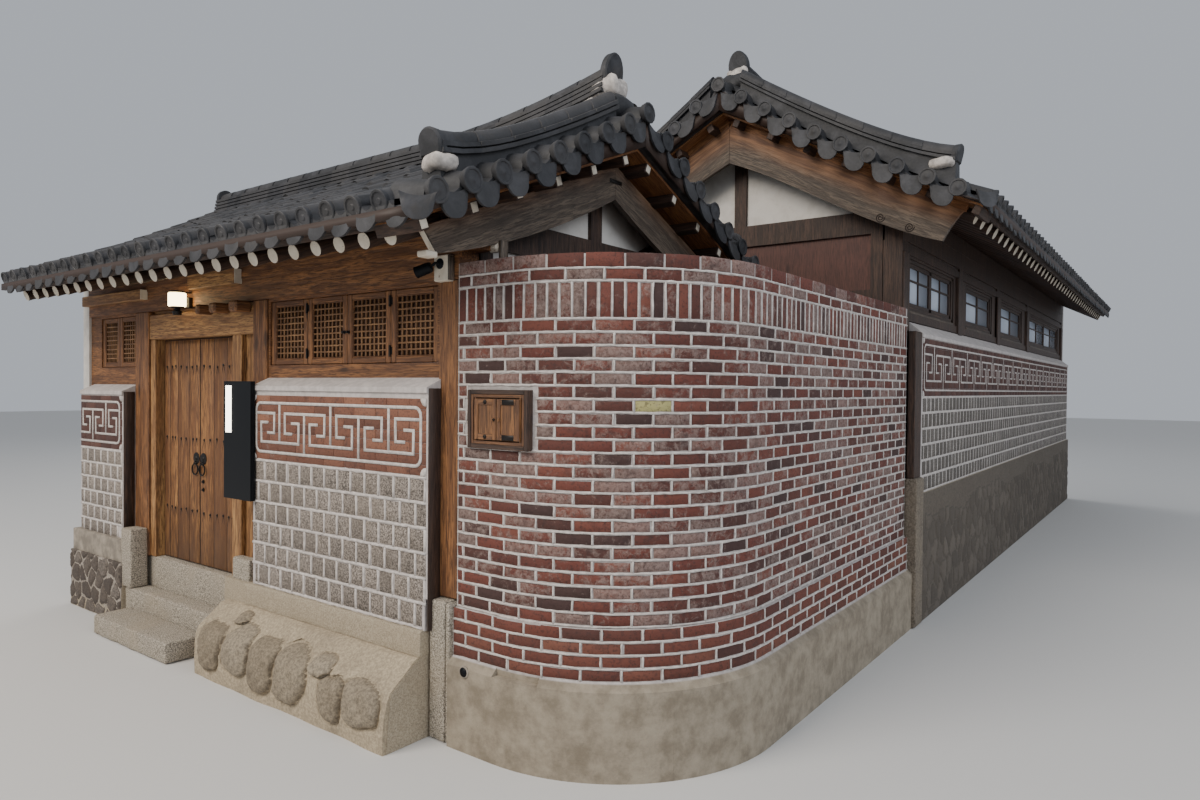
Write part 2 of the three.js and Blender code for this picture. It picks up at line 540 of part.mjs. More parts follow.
// A curved length of wall between two bearings, degrees from the front, in short facets
function curvedBrick(name, from, to) {
  const steps = Math.round((to - from) / 3.75);
  const section = brickSection().map(([out, z]) => new THREE.Vector2(BRICK.r + out, z));
  section.push(section[0].clone());
  const g = new THREE.LatheGeometry(section, steps, 0, THREE.MathUtils.degToRad(to - from));
  const ring = g.attributes.position;
  const rows = section.length;
  const index = Array.from(g.index.array);
  const caps = THREE.ShapeUtils.triangulateShape(section.slice(0, -1), []);
  for (const [a, b, c] of caps) {
    index.push(a, b, c);
    index.push(a + steps * rows, c + steps * rows, b + steps * rows);
  }
  const body = new THREE.BufferGeometry();
  body.setAttribute('position', ring.clone());
  body.setIndex(index);
  body.rotateX(Math.PI / 2).rotateZ(THREE.MathUtils.degToRad(from));
  body.translate(BRICK.x, BRICK.r, 0);
  add(name, geometryOf(oriented(body)), 'brick');
}

// The same body as a solid with its faces pointing out
function oriented(geometry) {
  const m = mergeVertices(geometry, 1e-3);
  const index = m.index.array;
  const p = m.attributes.position;
  let volume = 0;
  const v = [0, 1, 2].map(() => new THREE.Vector3());
  for (let i = 0; i < index.length; i += 3) {
    for (let k = 0; k < 3; k += 1) v[k].fromBufferAttribute(p, index[i + k]);
    volume += v[0].dot(v[1].clone().cross(v[2]));
  }
  if (volume < 0) {
    for (let i = 0; i < index.length; i += 3) [index[i], index[i + 1]] = [index[i + 1], index[i]];
  }
  return manifold(m);
}

function brickWall() {
  const straight = brickSection().map(([out, z]) => [-out, z]);
  const front = prismX(straight, 0, BRICK.x);
  const hatchHole = box(HATCH.x0, HATCH.x1, -100, HATCH.depth, HATCH.z0, HATCH.z1);
  const turn = 15;
  const seam = THREE.MathUtils.radToDeg(GAP / (BRICK.r - BRICK.t));
  const rest = [[turn + seam, 52.5], [52.5 + seam, 90]];
  const bend = frontBend(turn);
  add('brick_wall_hatch_bay', join([front, bend], [hatchHole]), 'brick');
  rest.forEach(([a, b], i) => curvedBrick(`brick_wall_curve_${i + 1}`, a, b));
  const side = brickSection().map(([out, z]) => [BRICK.x + BRICK.r + out, z]);
  add('brick_wall_side', prismY(side, BRICK.r + GAP, BRICK.yEnd), 'brick');
}

// First degrees of the bend, joined to the straight front by a small overlap
function frontBend(turn) {
  const outer = [];
  const steps = 4;
  const at = (r, a) => [BRICK.x + r * Math.sin(a), BRICK.r - r * Math.cos(a)];
  const bands = [[BRICK.foot, 0, BRICK.brickFoot - 40], [BRICK.plinth, BRICK.brickFoot - 42, BRICK.ledge],
    [0, BRICK.ledge - 2, BRICK.top]];
  for (const [out, z0, z1] of bands) {
    const ring = [];
    for (let i = 0; i <= steps; i += 1) ring.push(at(BRICK.r + out, THREE.MathUtils.degToRad(turn * i / steps)));
    for (let i = steps; i >= 0; i -= 1) ring.push(at(BRICK.r - BRICK.t, THREE.MathUtils.degToRad(turn * i / steps)));
    ring.push([BRICK.x - 2, BRICK.t], [BRICK.x - 2, -out]);
    outer.push(upright(ring, z0, z1));
  }
  return join(outer);
}

function hatch() {
  const f = HATCH.frame;
  const [x0, x1, z0, z1] = [HATCH.x0 + GAP, HATCH.x1 - GAP, HATCH.z0 + GAP, HATCH.z1 - GAP];
  const pins = { [-1]: x0 + f + HATCH.pinIn, 1: x1 - f - HATCH.pinIn };
  const hole = side => drum(pins[side], HATCH.pinY, z0 + f - 8, z1 - f + 8, HATCH.pinR + 0.4, 10);
  const frame = join([box(x0, x1, -HATCH.proud, 60, z0, z1)],
    [box(x0 + f, x1 - f, -50, 100, z0 + f, z1 - f), hole(-1), hole(1)]);
  add('hatch_frame', frame, 'oldTimber');
  const middle = (x0 + x1) / 2;
  const [low, high] = [z0 + f + 5.5, z1 - f - 5.5];
  for (const side of [-1, 1]) {
    const outer = pins[side] + side * HATCH.pinR;
    const inner = middle + side * 2.7;
    const [a, b] = [Math.min(outer, inner), Math.max(outer, inner)];
    const knob = middle + side * 20;
    const leaf = join([box(a, b, HATCH.leafY, HATCH.leafY + HATCH.leafT, low, high),
      drum(pins[side], HATCH.pinY, z0 + f - 8 + GAP, z1 - f + 8 - GAP, HATCH.pinR, 10),
      box(knob - 6, knob + 6, HATCH.leafY - 14, HATCH.leafY + 2, (z0 + z1) / 2 - 8, (z0 + z1) / 2 + 8)]);
    add(side < 0 ? 'hatch_leaf_left' : 'hatch_leaf_right', leaf, 'oldTimber');
  }
}

// Side wing

function sidePlatform() {
  const y1 = BRICK.yEnd + SIDE.length - PARTY;
  const body = box(COURT_FACE, SIDE_FACE, BRICK.yEnd, y1, 0, FLOOR_B);
  const base = box(SIDE_FACE - 2, 1410, SIDE_PANEL.y0 - 20, y1, 0, SIDE_PANEL.z0);
  const corner = box(SIDE_FACE - 10, 1400, BRICK.yEnd, SIDE_PANEL.y0 - 10, 0, 1220);
  add('side_wing_platform', join([body, base, corner]), 'stone');
}

function sidePanel() {
  const p = SIDE_PANEL;
  const posts = SIDE_FACE - SIDE_POST_IN;
  const points = [[SIDE_FACE, p.z0], [p.x, p.z0], [p.x, p.z1 - CAP_EDGE - 4], [p.x + CAP_OUT, p.z1 - CAP_EDGE],
    [p.x + CAP_OUT, p.z1], [posts, p.z1 + 100], [posts, FLOOR_B], [SIDE_FACE, FLOOR_B]];
  add('side_wing_panel', prismY(points, p.y0, p.y1), 'block');
}

// A long timber wall of the side wing: boards, proud posts, sill rails and the beam line
function sideWall(name, side) {
  const wallY1 = SIDE.length - PARTY;
  const band = (d0, d1) => [side * (SIDE.half - d0), side * (SIDE.half - d1)].sort((a, b) => a - b);
  const along = (y0, y1, d0, d1, z0, z1) => box(3730 - y1, 3730 - y0, ...band(d0, d1), z0, z1);
  const top = SIDE.purlinBottom - 155;
  const parts = [along(3730, 3730 + wallY1, WALL_IN, WALL_IN + WALL, FLOOR_B, top)];
  for (const y of SIDE_POSTS) {
    const end = Math.min(y + POST, 3730 + wallY1);
    parts.push(along(end - POST, end, SIDE_POST_IN, POST, FLOOR_B, top));
  }
  for (const z of [SIDE_WIN_Z[0] - 90, SIDE_WIN_Z[1] + 20]) parts.push(along(3730, 3730 + wallY1, 6, 40, z, z + 70));
  const cuts = SIDE_WINDOWS.map(([y0, y1]) => along(y0, y1, -60, 260, ...SIDE_WIN_Z));
  const wall = join(parts, cuts).applyMatrix4(SIDE.toSite);
  add(name, join([wall, eavesBeam(SIDE, side, SIDE.purlinBottom - 160)]), 'timber');
}

function sideWindows() {
  const turn = new THREE.Matrix4().set(0, -1, 0, 0, 1, 0, 0, 0, 0, 0, 1, 0, 0, 0, 0, 1);
  SIDE_WINDOWS.forEach(([y0, y1], i) => {
    const w = { x0: y0, x1: y1, z0: SIDE_WIN_Z[0], z1: SIDE_WIN_Z[1], sashes: SIDE_SASHES[i] };
    const mesh = sashRow(`side_wing_window_${i + 1}`, w, -1250, -1200, 'glass');
    mesh.geometry.applyMatrix4(turn);
  });
  const inner = COURT_FACE + POST;
  add('side_wing_court_glass', box(inner, inner + 10, 3900, 13500, SIDE_WIN_Z[0] - 40, SIDE_WIN_Z[1] + 40), 'glass');
}

gatePlatform();
gateSteps();
gatePosts();
facingPanel('front_panel_right', PANEL_R);
facingPanel('front_panel_left', PANEL_L);
frontWall('front_wall_right', GATE_POST_R[1], CORNER_POST[0], WINDOW_R);
frontWall('front_wall_left', PARTY - GATE.length, GATE_POST_L[0], WINDOW_L);
sashRow('front_window_right', WINDOW_R, 30, 90, 'paper');
sashRow('front_window_left', WINDOW_L, 30, 90, 'paper');
gateFrame();
gateLeaf('gate_leaf_left', -1);
gateLeaf('gate_leaf_right', 1);
gateFittings();
gateRear();
gableWall(GATE, 'gate_wing_gable_wall', 'plaster');
gableFrame(GATE, 2740, 2560, [[-760, 2930, -560, 3120], [560, 2930, 760, 3020]]);
partyWall(GATE, 'gate_wing_party_wall', 'plaster');
rafters(GATE);
roofSlope(GATE, -1, 'gate_wing_roof_front');
roofSlope(GATE, 1, 'gate_wing_roof_rear');
ridges(GATE);
vergeTimbers(GATE);
brickWall();
hatch();
sidePlatform();
sidePanel();
sideWall('side_wing_street_wall', 1);
sideWall('side_wing_court_wall', -1);
sideWindows();
gableWall(SIDE, 'side_wing_gable_wall', 'plaster');
gableFrame(SIDE, 3270, 2700, []);
partyWall(SIDE, 'side_wing_back_wall', 'plaster');
rafters(SIDE);
roofSlope(SIDE, -1, 'side_wing_roof_court');
roofSlope(SIDE, 1, 'side_wing_roof_street');
ridges(SIDE);
vergeTimbers(SIDE);

// The origin goes to the middle of the footprint, at ground level
const bounds = new THREE.Box3().setFromObject(house);
const centre = bounds.getCenter(new THREE.Vector3());
house.position.set(-centre.x, -centre.y, -bounds.min.z);

export default house;
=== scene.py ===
"""Looks of a Korean corner house: gate wing, side wing and the rounded brick wall between.

Lengths are metres. Site frame: x right along the front street, y back along the side
street, z up, with the corner post's outer corner at the origin. Each wing has its own
frame: u out past its free gable, v across the ridge, w up. SHIFT moves site to row frame.
UP is upwards, OUT towards the front street.
"""

import math

import bpy
import numpy as np
from mathutils import Matrix


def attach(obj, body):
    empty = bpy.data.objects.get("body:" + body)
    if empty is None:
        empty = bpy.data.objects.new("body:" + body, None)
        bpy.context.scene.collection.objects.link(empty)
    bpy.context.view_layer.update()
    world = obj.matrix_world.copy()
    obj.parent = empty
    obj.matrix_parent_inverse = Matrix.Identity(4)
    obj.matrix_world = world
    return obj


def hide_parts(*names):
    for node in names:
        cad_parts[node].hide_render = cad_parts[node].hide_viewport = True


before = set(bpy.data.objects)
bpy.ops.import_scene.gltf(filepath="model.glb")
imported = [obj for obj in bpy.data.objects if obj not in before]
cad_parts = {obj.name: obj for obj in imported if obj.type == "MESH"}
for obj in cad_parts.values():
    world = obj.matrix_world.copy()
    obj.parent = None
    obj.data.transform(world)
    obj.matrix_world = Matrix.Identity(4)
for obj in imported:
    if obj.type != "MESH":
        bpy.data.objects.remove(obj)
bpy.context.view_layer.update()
SHIFT = np.array([1.435, -6.640, 0.0])
UP, OUT = np.array([0, 0, 1.0]), np.array([0, -1.0, 0])
rng = np.random.default_rng(11)

# Meshes: a part is (points, [faces], tone, grain), the last two if wanted; faces are whole numbers in
# rows of equal length, tone one number or one a point, and grain the wood's own coordinates


def outward(points, faces):
    """Turns every face round if the signed volume, a sum of corner triple products, is negative."""
    volume = 0.0
    for rows in faces:
        a = points[rows[:, 0]]
        for k in range(1, rows.shape[1] - 1):
            b, c = points[rows[:, k]], points[rows[:, k + 1]]
            volume += np.einsum("ij,ij->", a, np.cross(b, c))
    return [rows[:, ::-1] for rows in faces] if volume < 0 else faces


def join(parts):
    """One part from many: points stacked, each part's faces shifted by the points before it."""
    points, faces, tones, grains, start = [], [], [], [], 0
    for part in parts:
        p = np.asarray(part[0], float).reshape(-1, 3)
        points.append(p)
        tone = part[2] if len(part) > 2 else 0.5
        tones.append(np.broadcast_to(np.asarray(tone, float), (len(p),)))
        grains.append(part[3] if len(part) > 3 else p)
        faces += [rows + start for rows in outward(p, part[1])]
        start += len(p)
    return np.concatenate(points), faces, np.concatenate(tones), np.concatenate(grains)


def put(name, parts, look, body="house", stands_for=(), smooth=None):
    """Makes one object of the parts, in the row frame, and ties it to its body."""
    points, faces, tones, grains = join(parts)
    mesh = bpy.data.meshes.new(name)
    counts = np.concatenate([np.full(len(r), r.shape[1]) for r in faces])
    corners = np.concatenate([r.ravel() for r in faces])
    mesh.vertices.add(len(points))
    mesh.vertices.foreach_set("co", (points + SHIFT).ravel())
    mesh.loops.add(len(corners))
    mesh.loops.foreach_set("vertex_index", corners.astype(np.int32))
    mesh.polygons.add(len(counts))
    starts = np.concatenate([[0], np.cumsum(counts)[:-1]])
    mesh.polygons.foreach_set("loop_start", starts.astype(np.int32))
    mesh.update(calc_edges=True)
    mesh.validate()
    tone = mesh.attributes.new("tone", "FLOAT", "POINT")
    tone.data.foreach_set("value", tones.astype(np.float32))
    if any(len(part) > 3 for part in parts):
        grain = mesh.attributes.new("grain", "FLOAT_VECTOR", "POINT")
        grain.data.foreach_set("vector", grains.astype(np.float32).ravel())
    if smooth is not None:
        mesh.polygons.foreach_set("use_smooth", np.ones(len(mesh.polygons), bool))
        mesh.set_sharp_from_angle(angle=math.radians(smooth))
    mesh.materials.append(look)
    piece = bpy.data.objects.new(name, mesh)
    bpy.context.scene.collection.objects.link(piece)
    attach(piece, body)
    if stands_for:
        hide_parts(*stands_for)


def grid_faces(n, m, offset=0):
    """Quads of an n by m grid of points stored row by row."""
    i, j = np.meshgrid(np.arange(n - 1), np.arange(m - 1), indexing="ij")
    a = (i * m + j).ravel() + offset
    return np.stack([a, a + 1, a + m + 1, a + m], 1)


def rim_of(n, m):
    """Points round the rim of that grid, in order."""
    return np.concatenate([np.arange(m), np.arange(1, n) * m + m - 1,
                           (n - 1) * m + np.arange(m - 2, -1, -1), np.arange(n - 2, 0, -1) * m])


def wrapped(n, m):
    """Quads of an n by m grid that closes on itself both ways."""
    i, j = np.meshgrid(np.arange(n), np.arange(m), indexing="ij")
    i2, j2 = (i + 1) % n, (j + 1) % m
    return np.stack([i * m + j, i * m + j2, i2 * m + j2, i2 * m + j], -1).reshape(-1, 4)


def repeated(faces, count, size):
    """Faces of count equal bodies of size points each."""
    shift = (np.arange(count) * size)[:, None, None]
    return [(rows[None] + shift).reshape(-1, rows.shape[1]) for rows in faces]


def slab(top, low):
    """Closed body between two grids of one shape: both grids and the strip that joins their rims."""
    n, m = top.shape[:2]
    rim = rim_of(n, m)
    nxt = np.roll(rim, -1)
    size = n * m
    wall = np.stack([rim, rim + size, nxt + size, nxt], 1)
    faces = [grid_faces(n, m), grid_faces(n, m, size)[:, ::-1], wall]
    return np.concatenate([top.reshape(-1, 3), low.reshape(-1, 3)]), faces


def sweep(rings):
    """Closed body through rings of equal count (k, n, 3): quads between rings and a cap at both ends."""
    k, n = rings.shape[:2]
    i, j = np.meshgrid(np.arange(k - 1), np.arange(n), indexing="ij")
    a, b = (i * n + j).ravel(), (i * n + (j + 1) % n).ravel()
    side = np.stack([a, b, b + n, a + n], 1)
    caps = np.stack([np.arange(n)[::-1], (k - 1) * n + np.arange(n)])
    return rings.reshape(-1, 3), [side, caps]


def stack(rings):
    """Many swept bodies from rings of one shape (bodies, rings, points, 3)."""
    k, n, m = rings.shape[:3]
    return rings.reshape(-1, 3), repeated(sweep(rings[0])[1], k, n * m)


def many(part, centres, tones):
    """The same part at many centres, as one stack."""
    points, faces = part
    k, n = len(centres), len(points)
    return (points[None] + centres[:, None]).reshape(-1, 3), repeated(faces, k, n), np.repeat(tones, n)


def unit(v):
    v = np.asarray(v, float)
    return v / np.linalg.norm(v, axis=-1, keepdims=True)


def square_to(ahead):
    """Two directions square to a unit direction and to each other, from its cross product with a third."""
    one = unit(np.cross(ahead, np.where(np.abs(ahead[..., 2:3]) > 0.9, [1.0, 0, 0], UP)))
    return one, np.cross(ahead, one)


def circle(sides):
    return np.linspace(0, 2 * np.pi, sides, endpoint=False)


def tube(path, radius, sides=10):
    """Round bar along a path: a circle at each point, square to the path's direction there."""
    path = np.asarray(path, float)
    one, two = square_to(unit(np.gradient(path, axis=0)))
    a = circle(sides)[None, :, None]
    r = np.broadcast_to(np.asarray(radius, float), (len(path),))[:, None, None]
    return sweep(path[:, None] + r * (np.cos(a) * one[:, None] + np.sin(a) * two[:, None]))


def turned(centre, axis, profile, sides=12):
    """Lathed body: profile rows are (distance along axis, radius), each a circle square to axis."""
    axis = unit(axis)
    one, two = square_to(axis)
    a = circle(sides)[:, None]
    rows = np.asarray(profile, float)
    return sweep(np.asarray(centre, float) + rows[:, :1, None] * axis
                 + rows[:, 1:, None] * (np.cos(a) * one + np.sin(a) * two))


def hoop(centre, one, two, big, small, around=24, sides=8):
    """Ring: points at big plus small times the cosine of b, turned by a in the plane of one and two, and
    small times the sine of b off that plane."""
    a, b = circle(around)[:, None, None], circle(sides)[None, :, None]
    one, two = np.asarray(one, float), np.asarray(two, float)
    points = (np.asarray(centre, float) + (big + small * np.cos(b)) * (np.cos(a) * one + np.sin(a) * two)
              + small * np.sin(b) * np.cross(one, two))
    return points.reshape(-1, 3), [wrapped(around, sides)]


def cuboid(lo, hi, edge=0.0, tone=0.5):
    """Box from lo to hi with its twelve edges cut off by edge, as three crossed slices of eight points."""
    lo, hi = np.minimum(lo, hi).astype(float), np.maximum(lo, hi).astype(float)
    if edge <= 0:
        ring = lo[:2] + np.array([[0, 0], [1, 0], [1, 1], [0, 1]], float) * (hi - lo)[:2]
        z = np.broadcast_to(np.array([lo[2], hi[2]])[:, None, None], (2, 4, 1))
        return (*sweep(np.concatenate([np.stack([ring] * 2), z], 2)), tone)
    e = min(edge, 0.45 * float((hi - lo).min()))
    out = []
    for z, inset in ((lo[2], e), (lo[2] + e, 0), (hi[2] - e, 0), (hi[2], e)):
        x0, y0, x1, y1 = lo[0] + inset, lo[1] + inset, hi[0] - inset, hi[1] - inset
        c = e if inset == 0 else e * 0.5
        out.append([[x0 + c, y0, z], [x1 - c, y0, z], [x1, y0 + c, z], [x1, y1 - c, z],
                    [x1 - c, y1, z], [x0 + c, y1, z], [x0, y1 - c, z], [x0, y0 + c, z]])
    return (*sweep(np.array(out)), tone)


def patches(s0, s1, z0, z1, back, face, edge, place, rough=0.0, tone=0.5, skew=0.0, across=4, up=3):
    """Many worn blocks on a surface: place(s, z, d) maps run, height and depth. Each block is a grid
    whose rim lies at depth back, whose next ring lies at face - edge, and whose middle is raised to
    face, with random depth rough, never far inwards, and corners moved by skew."""
    k = len(s0)
    s0, s1, z0, z1 = (np.broadcast_to(np.asarray(a, float), k)[:, None, None] for a in (s0, s1, z0, z1))
    n, m = across + 4, up + 4
    rows = []
    for count in (across, up):
        t = np.linspace(0, 1, count)
        rows.append((np.array([0, 1] + [2] * count + [1, 0]), np.concatenate([[0, 0], t, [1, 1]]),
                     np.concatenate([[0, 0], 1 - 2 * t, [0, 0]])))
    level_s, fs, cut_s = (row[None, :, None] for row in rows[0])
    level_z, fz, cut_z = (row[None, None, :] for row in rows[1])
    level = np.minimum(level_s, level_z)
    jit = rng.normal(0, skew, (4, k, 1, 1)) if skew else np.zeros((4, k, 1, 1))
    a0, a1 = s0 + np.abs(jit[0]), s1 - np.abs(jit[1])
    b0, b1 = z0 + np.abs(jit[2]), z1 - np.abs(jit[3])
    s = a0 + (a1 - a0) * fs + edge * cut_s + 0 * fz
    z = b0 + (b1 - b0) * fz + edge * cut_z + 0 * fs
    if skew:
        s = s + rng.normal(0, skew * 0.6, s.shape) * (level > 0)
        z = z + rng.normal(0, skew * 0.6, z.shape) * (level > 0)
        for g in (s, z):
            g[:, 0], g[:, -1] = g[:, 1], g[:, -2]
            g[:, :, 0], g[:, :, -1] = g[:, :, 1], g[:, :, -2]
    depth = np.choose(level, [back, face - edge, face]) + np.zeros((k, 1, 1))
    depth = depth + np.maximum(rng.normal(0, 1, depth.shape), -1.2) * rough * (level > 1)
    tones = np.repeat(np.broadcast_to(np.asarray(tone, float), (k,)), n * m)
    faces = repeated([grid_faces(n, m), rim_of(n, m)[None]], k, n * m)
    return place(s, z, depth).reshape(-1, 3), faces, tones


def ribbon(path, width, place, back, face, closed=False):
    """Flat strip along a path of (s, z) points with mitred corners: both edges lie width / 2 from the
    path along the sum of the neighbouring normals, divided by one plus their product."""
    p = np.asarray(path, float)
    step = unit(np.roll(p, -1, 0) - p)
    normal = np.stack([-step[:, 1], step[:, 0]], 1)
    before = np.roll(normal, 1, 0)
    if not closed:
        normal[-1] = normal[-2]
        before[0] = normal[0]
    mitre = (normal + before) / (1 + (normal * before).sum(1, keepdims=True))
    left, right = p + mitre * width / 2, p - mitre * width / 2
    rings = np.stack([place(e[:, 0], e[:, 1], d)
                      for e, d in ((left, back), (left, face), (right, face), (right, back))], 1)
    return (rings.reshape(-1, 3), [wrapped(len(p), 4)]) if closed else sweep(rings)


def plate(outline, place, back, face, edge):
    """Flat plate with the given outline of (a, b) points, its front rim cut back by edge."""
    o = np.asarray(outline, float)
    middle = o.mean(0)
    inner = middle + (o - middle) * (1 - edge / np.linalg.norm(o - middle, axis=1, keepdims=True))
    rows = [(o, back), (o, face - edge), (inner, face)]
    return sweep(np.stack([place(q[:, 0], q[:, 1], d) for q, d in rows]))


def grained(part, start, ahead, tone=0.5):
    """Gives a part grain coordinates: each point's distances from start along ahead and along two axes
    square to it, moved on by its tone."""
    ahead = unit(ahead)
    one = unit(np.cross(ahead, UP if abs(ahead[2]) < 0.9 else [0, 1.0, 0]))
    axes = np.stack([ahead, one, np.cross(one, ahead)], 1)
    grain = (part[0] - np.asarray(start, float)) @ axes + tone * np.array([31.0, 7.0, 3.0])
    return part[0], part[1], tone, grain


def bar(a, b, wide, high, edge=0.004, tone=0.5, up=UP):
    """Squared timber from a to b, wide sideways and high along up: four rings of eight points, the
    arrises planed off by edge. Its grain runs from a to b."""
    a, b = np.asarray(a, float), np.asarray(b, float)
    long = np.linalg.norm(b - a)
    ahead = (b - a) / long
    side = unit(np.cross(ahead, up))
    edge = min(edge, 0.3 * min(wide, high, long))
    rings = []
    for t, cut in ((0.0, edge), (edge, 0.0), (long - edge, 0.0), (long, edge)):
        w, h = wide / 2 - cut, high / 2 - cut
        c = max(edge - cut, edge * 0.4)
        ring = [[w - c, -h], [w, c - h], [w, h - c], [w - c, h],
                [c - w, h], [-w, h - c], [-w, c - h], [c - w, -h]]
        rings.append(np.column_stack([np.full(8, t), ring]))
    points = a + np.array(rings) @ np.stack([ahead, side, np.cross(side, ahead)])
    return grained(sweep(points), a, ahead, tone)


def stick(lo, hi, edge=0.004, tone=0.5):
    """Squared timber that fills the box from lo to hi, its grain along the longest side."""
    lo, hi = np.minimum(lo, hi).astype(float), np.maximum(lo, hi).astype(float)
    size, a, b = hi - lo, (lo + hi) / 2, (lo + hi) / 2
    k = int(size.argmax())
    a[k], b[k] = lo[k], hi[k]
    if k == 2:
        return bar(a, b, size[0], size[1], edge, tone, (0, 1.0, 0))
    return bar(a, b, size[1 - k], size[2], edge, tone)


def sticks(*rows):
    """One stick for each row (low corner, high corner, planed edge, tone)."""
    return [stick(*row) for row in rows]


def hewn(lo, hi, edge=0.016, rough=0.004, seed=0.0):
    """Dressed stone in the box lo to hi: rounded rectangles along its longest side, drawn in at both ends,
    every point moved by sines of its place."""
    lo, hi = np.asarray(lo, float), np.asarray(hi, float)
    size = hi - lo
    k = int(size.argmax())
    inner = np.linspace(edge, size[k] - edge, max(4, int(size[k] / 0.06)))
    t = np.concatenate([[0.0, edge * 0.3], inner, [size[k] - edge * 0.3, size[k]]])
    cut = np.concatenate([[edge, edge * 0.3], np.zeros(len(inner)), [edge * 0.3, edge]])
    a = np.concatenate([np.linspace(0, np.pi / 2, 4) + q * np.pi / 2 for q in range(4)])
    steps, at = np.linspace(0, len(a), 49)[:-1], np.arange(len(a) + 1)
    points = np.zeros((len(t), 48, 3))
    points[..., k] = t[:, None] + lo[k]
    others = [n for n in range(3) if n != k]
    for n, signs, turn in zip(others, ([1, -1, -1, 1], [1, 1, -1, -1]), (np.cos, np.sin)):
        ring = np.repeat(signs, 4) * (size[n] / 2 - edge) + edge * turn(a)
        ring = np.interp(steps, at, np.append(ring, ring[0]))
        points[..., n] = ring[None] * (1 - 2 * cut[:, None] / size[n]) + (lo[n] + hi[n]) / 2
    x, y, z = points[..., 0], points[..., 1], points[..., 2]
    for n, (p, q, r) in enumerate(((31, 17, 23), (19, 37, 29), (41, 13, 11))):
        points[..., n] += rough * 0.5 * (np.sin(p * x + q * y + seed)
                                         + np.sin(r * z + q * x - 2 * seed) * np.cos(p * y + r * z))
    return sweep(points)


# Shader values


class Value:
    """A socket with Python's operators, each of which adds one Math node."""

    def __init__(self, look, socket):
        self.look, self.socket = look, socket

    def __add__(self, other):
        return self.look.math("ADD", self, other)

    def __sub__(self, other):
        return self.look.math("SUBTRACT", self, other)

    def __rsub__(self, other):
        return self.look.math("SUBTRACT", other, self)

    def __mul__(self, other):
        return self.look.math("MULTIPLY", self, other)

    __radd__ = __add__


class Look:
    """A material under way. node() adds any node: its settings first, then its sockets."""

    def __init__(self, name, **fixed):
        self.material = bpy.data.materials.new(name)
        self.material.use_nodes = True
        self.tree = self.material.node_tree
        self.tree.nodes.clear()
        self.shader = self.tree.nodes.new("ShaderNodeBsdfPrincipled")
        out = self.tree.nodes.new("ShaderNodeOutputMaterial")
        self.tree.links.new(self.shader.outputs[0], out.inputs[0])
        self.place = self.node("TexCoord", {}, {}, "Object")
        self.x, self.y, self.z = self.split(self.place)
        self.finish(**fixed)

    def node(self, kind, settings, sockets, out=0):
        n = self.tree.nodes.new("ShaderNode" + kind)
        for key, value in settings.items():
            if key == "stops":
                ramp = n.color_ramp
                while len(ramp.elements) < len(value):
                    ramp.elements.new(0.5)
                for element, (at, colour) in zip(ramp.elements, value):
                    element.position, element.color = at, (*colour, 1)
            else:
                setattr(n, key, value)
        for key, value in sockets.items():
            self.feed(n.inputs[key], value)
        return Value(self, n.outputs[out])

    def feed(self, socket, value):
        if isinstance(value, Value):
            self.tree.links.new(value.socket, socket)
        elif isinstance(value, (tuple, list)) and socket.type == "RGBA":
            socket.default_value = (*value[:3], 1)
        else:
            socket.default_value = value

    def finish(self, **sockets):
        for key, value in sockets.items():
            self.feed(self.shader.inputs[key.replace("_", " ")], value)
        return self.material

    def math(self, operation, *values):
        return self.node("Math", {"operation": operation}, dict(enumerate(values)))

    def mix(self, factor, a, b):
        return self.node("Mix", {"data_type": "RGBA"}, {0: factor, 6: a, 7: b}, 2)

    def vector(self, x, y, z):
        return self.node("CombineXYZ", {}, {0: x, 1: y, 2: z})

    def split(self, vector):
        parts = self.tree.nodes.new("ShaderNodeSeparateXYZ")
        self.tree.links.new(vector.socket, parts.inputs[0])
        return [Value(self, s) for s in parts.outputs]

    def noise(self, scale, detail=3.0, rough=0.55, warp=0.0, at=None):
        return self.node("TexNoise", {}, {"Vector": at or self.place, "Scale": scale, "Detail": detail,
                                          "Roughness": rough, "Distortion": warp})

    def cells(self, scale, at=None):
        sockets = {"Vector": at or self.place, "Scale": scale}
        return self.node("TexVoronoi", {"feature": "F1"}, sockets, "Distance")

    def step(self, value, low, high):
        return self.node("MapRange", {"interpolation_type": "SMOOTHSTEP"},
                         {"Value": value, "From Min": low, "From Max": high})

    def ramp(self, value, stops):
        return self.node("ValToRGB", {"stops": stops}, {"Fac": value})

    def tone(self):
        return self.node("Attribute", {"attribute_name": "tone"}, {}, "Fac")

    def grain(self):
        """The piece's own grain coordinates: along, across and up the timber."""
        return self.split(self.node("Attribute", {"attribute_name": "grain"}, {}, "Vector"))

    def bump(self, height, depth, strength=1.0):
        return self.node("Bump", {}, {"Height": height, "Distance": depth, "Strength": strength})


def tint(colour, gain):
    return tuple(min(1.0, c * gain) for c in colour)


# Finishes


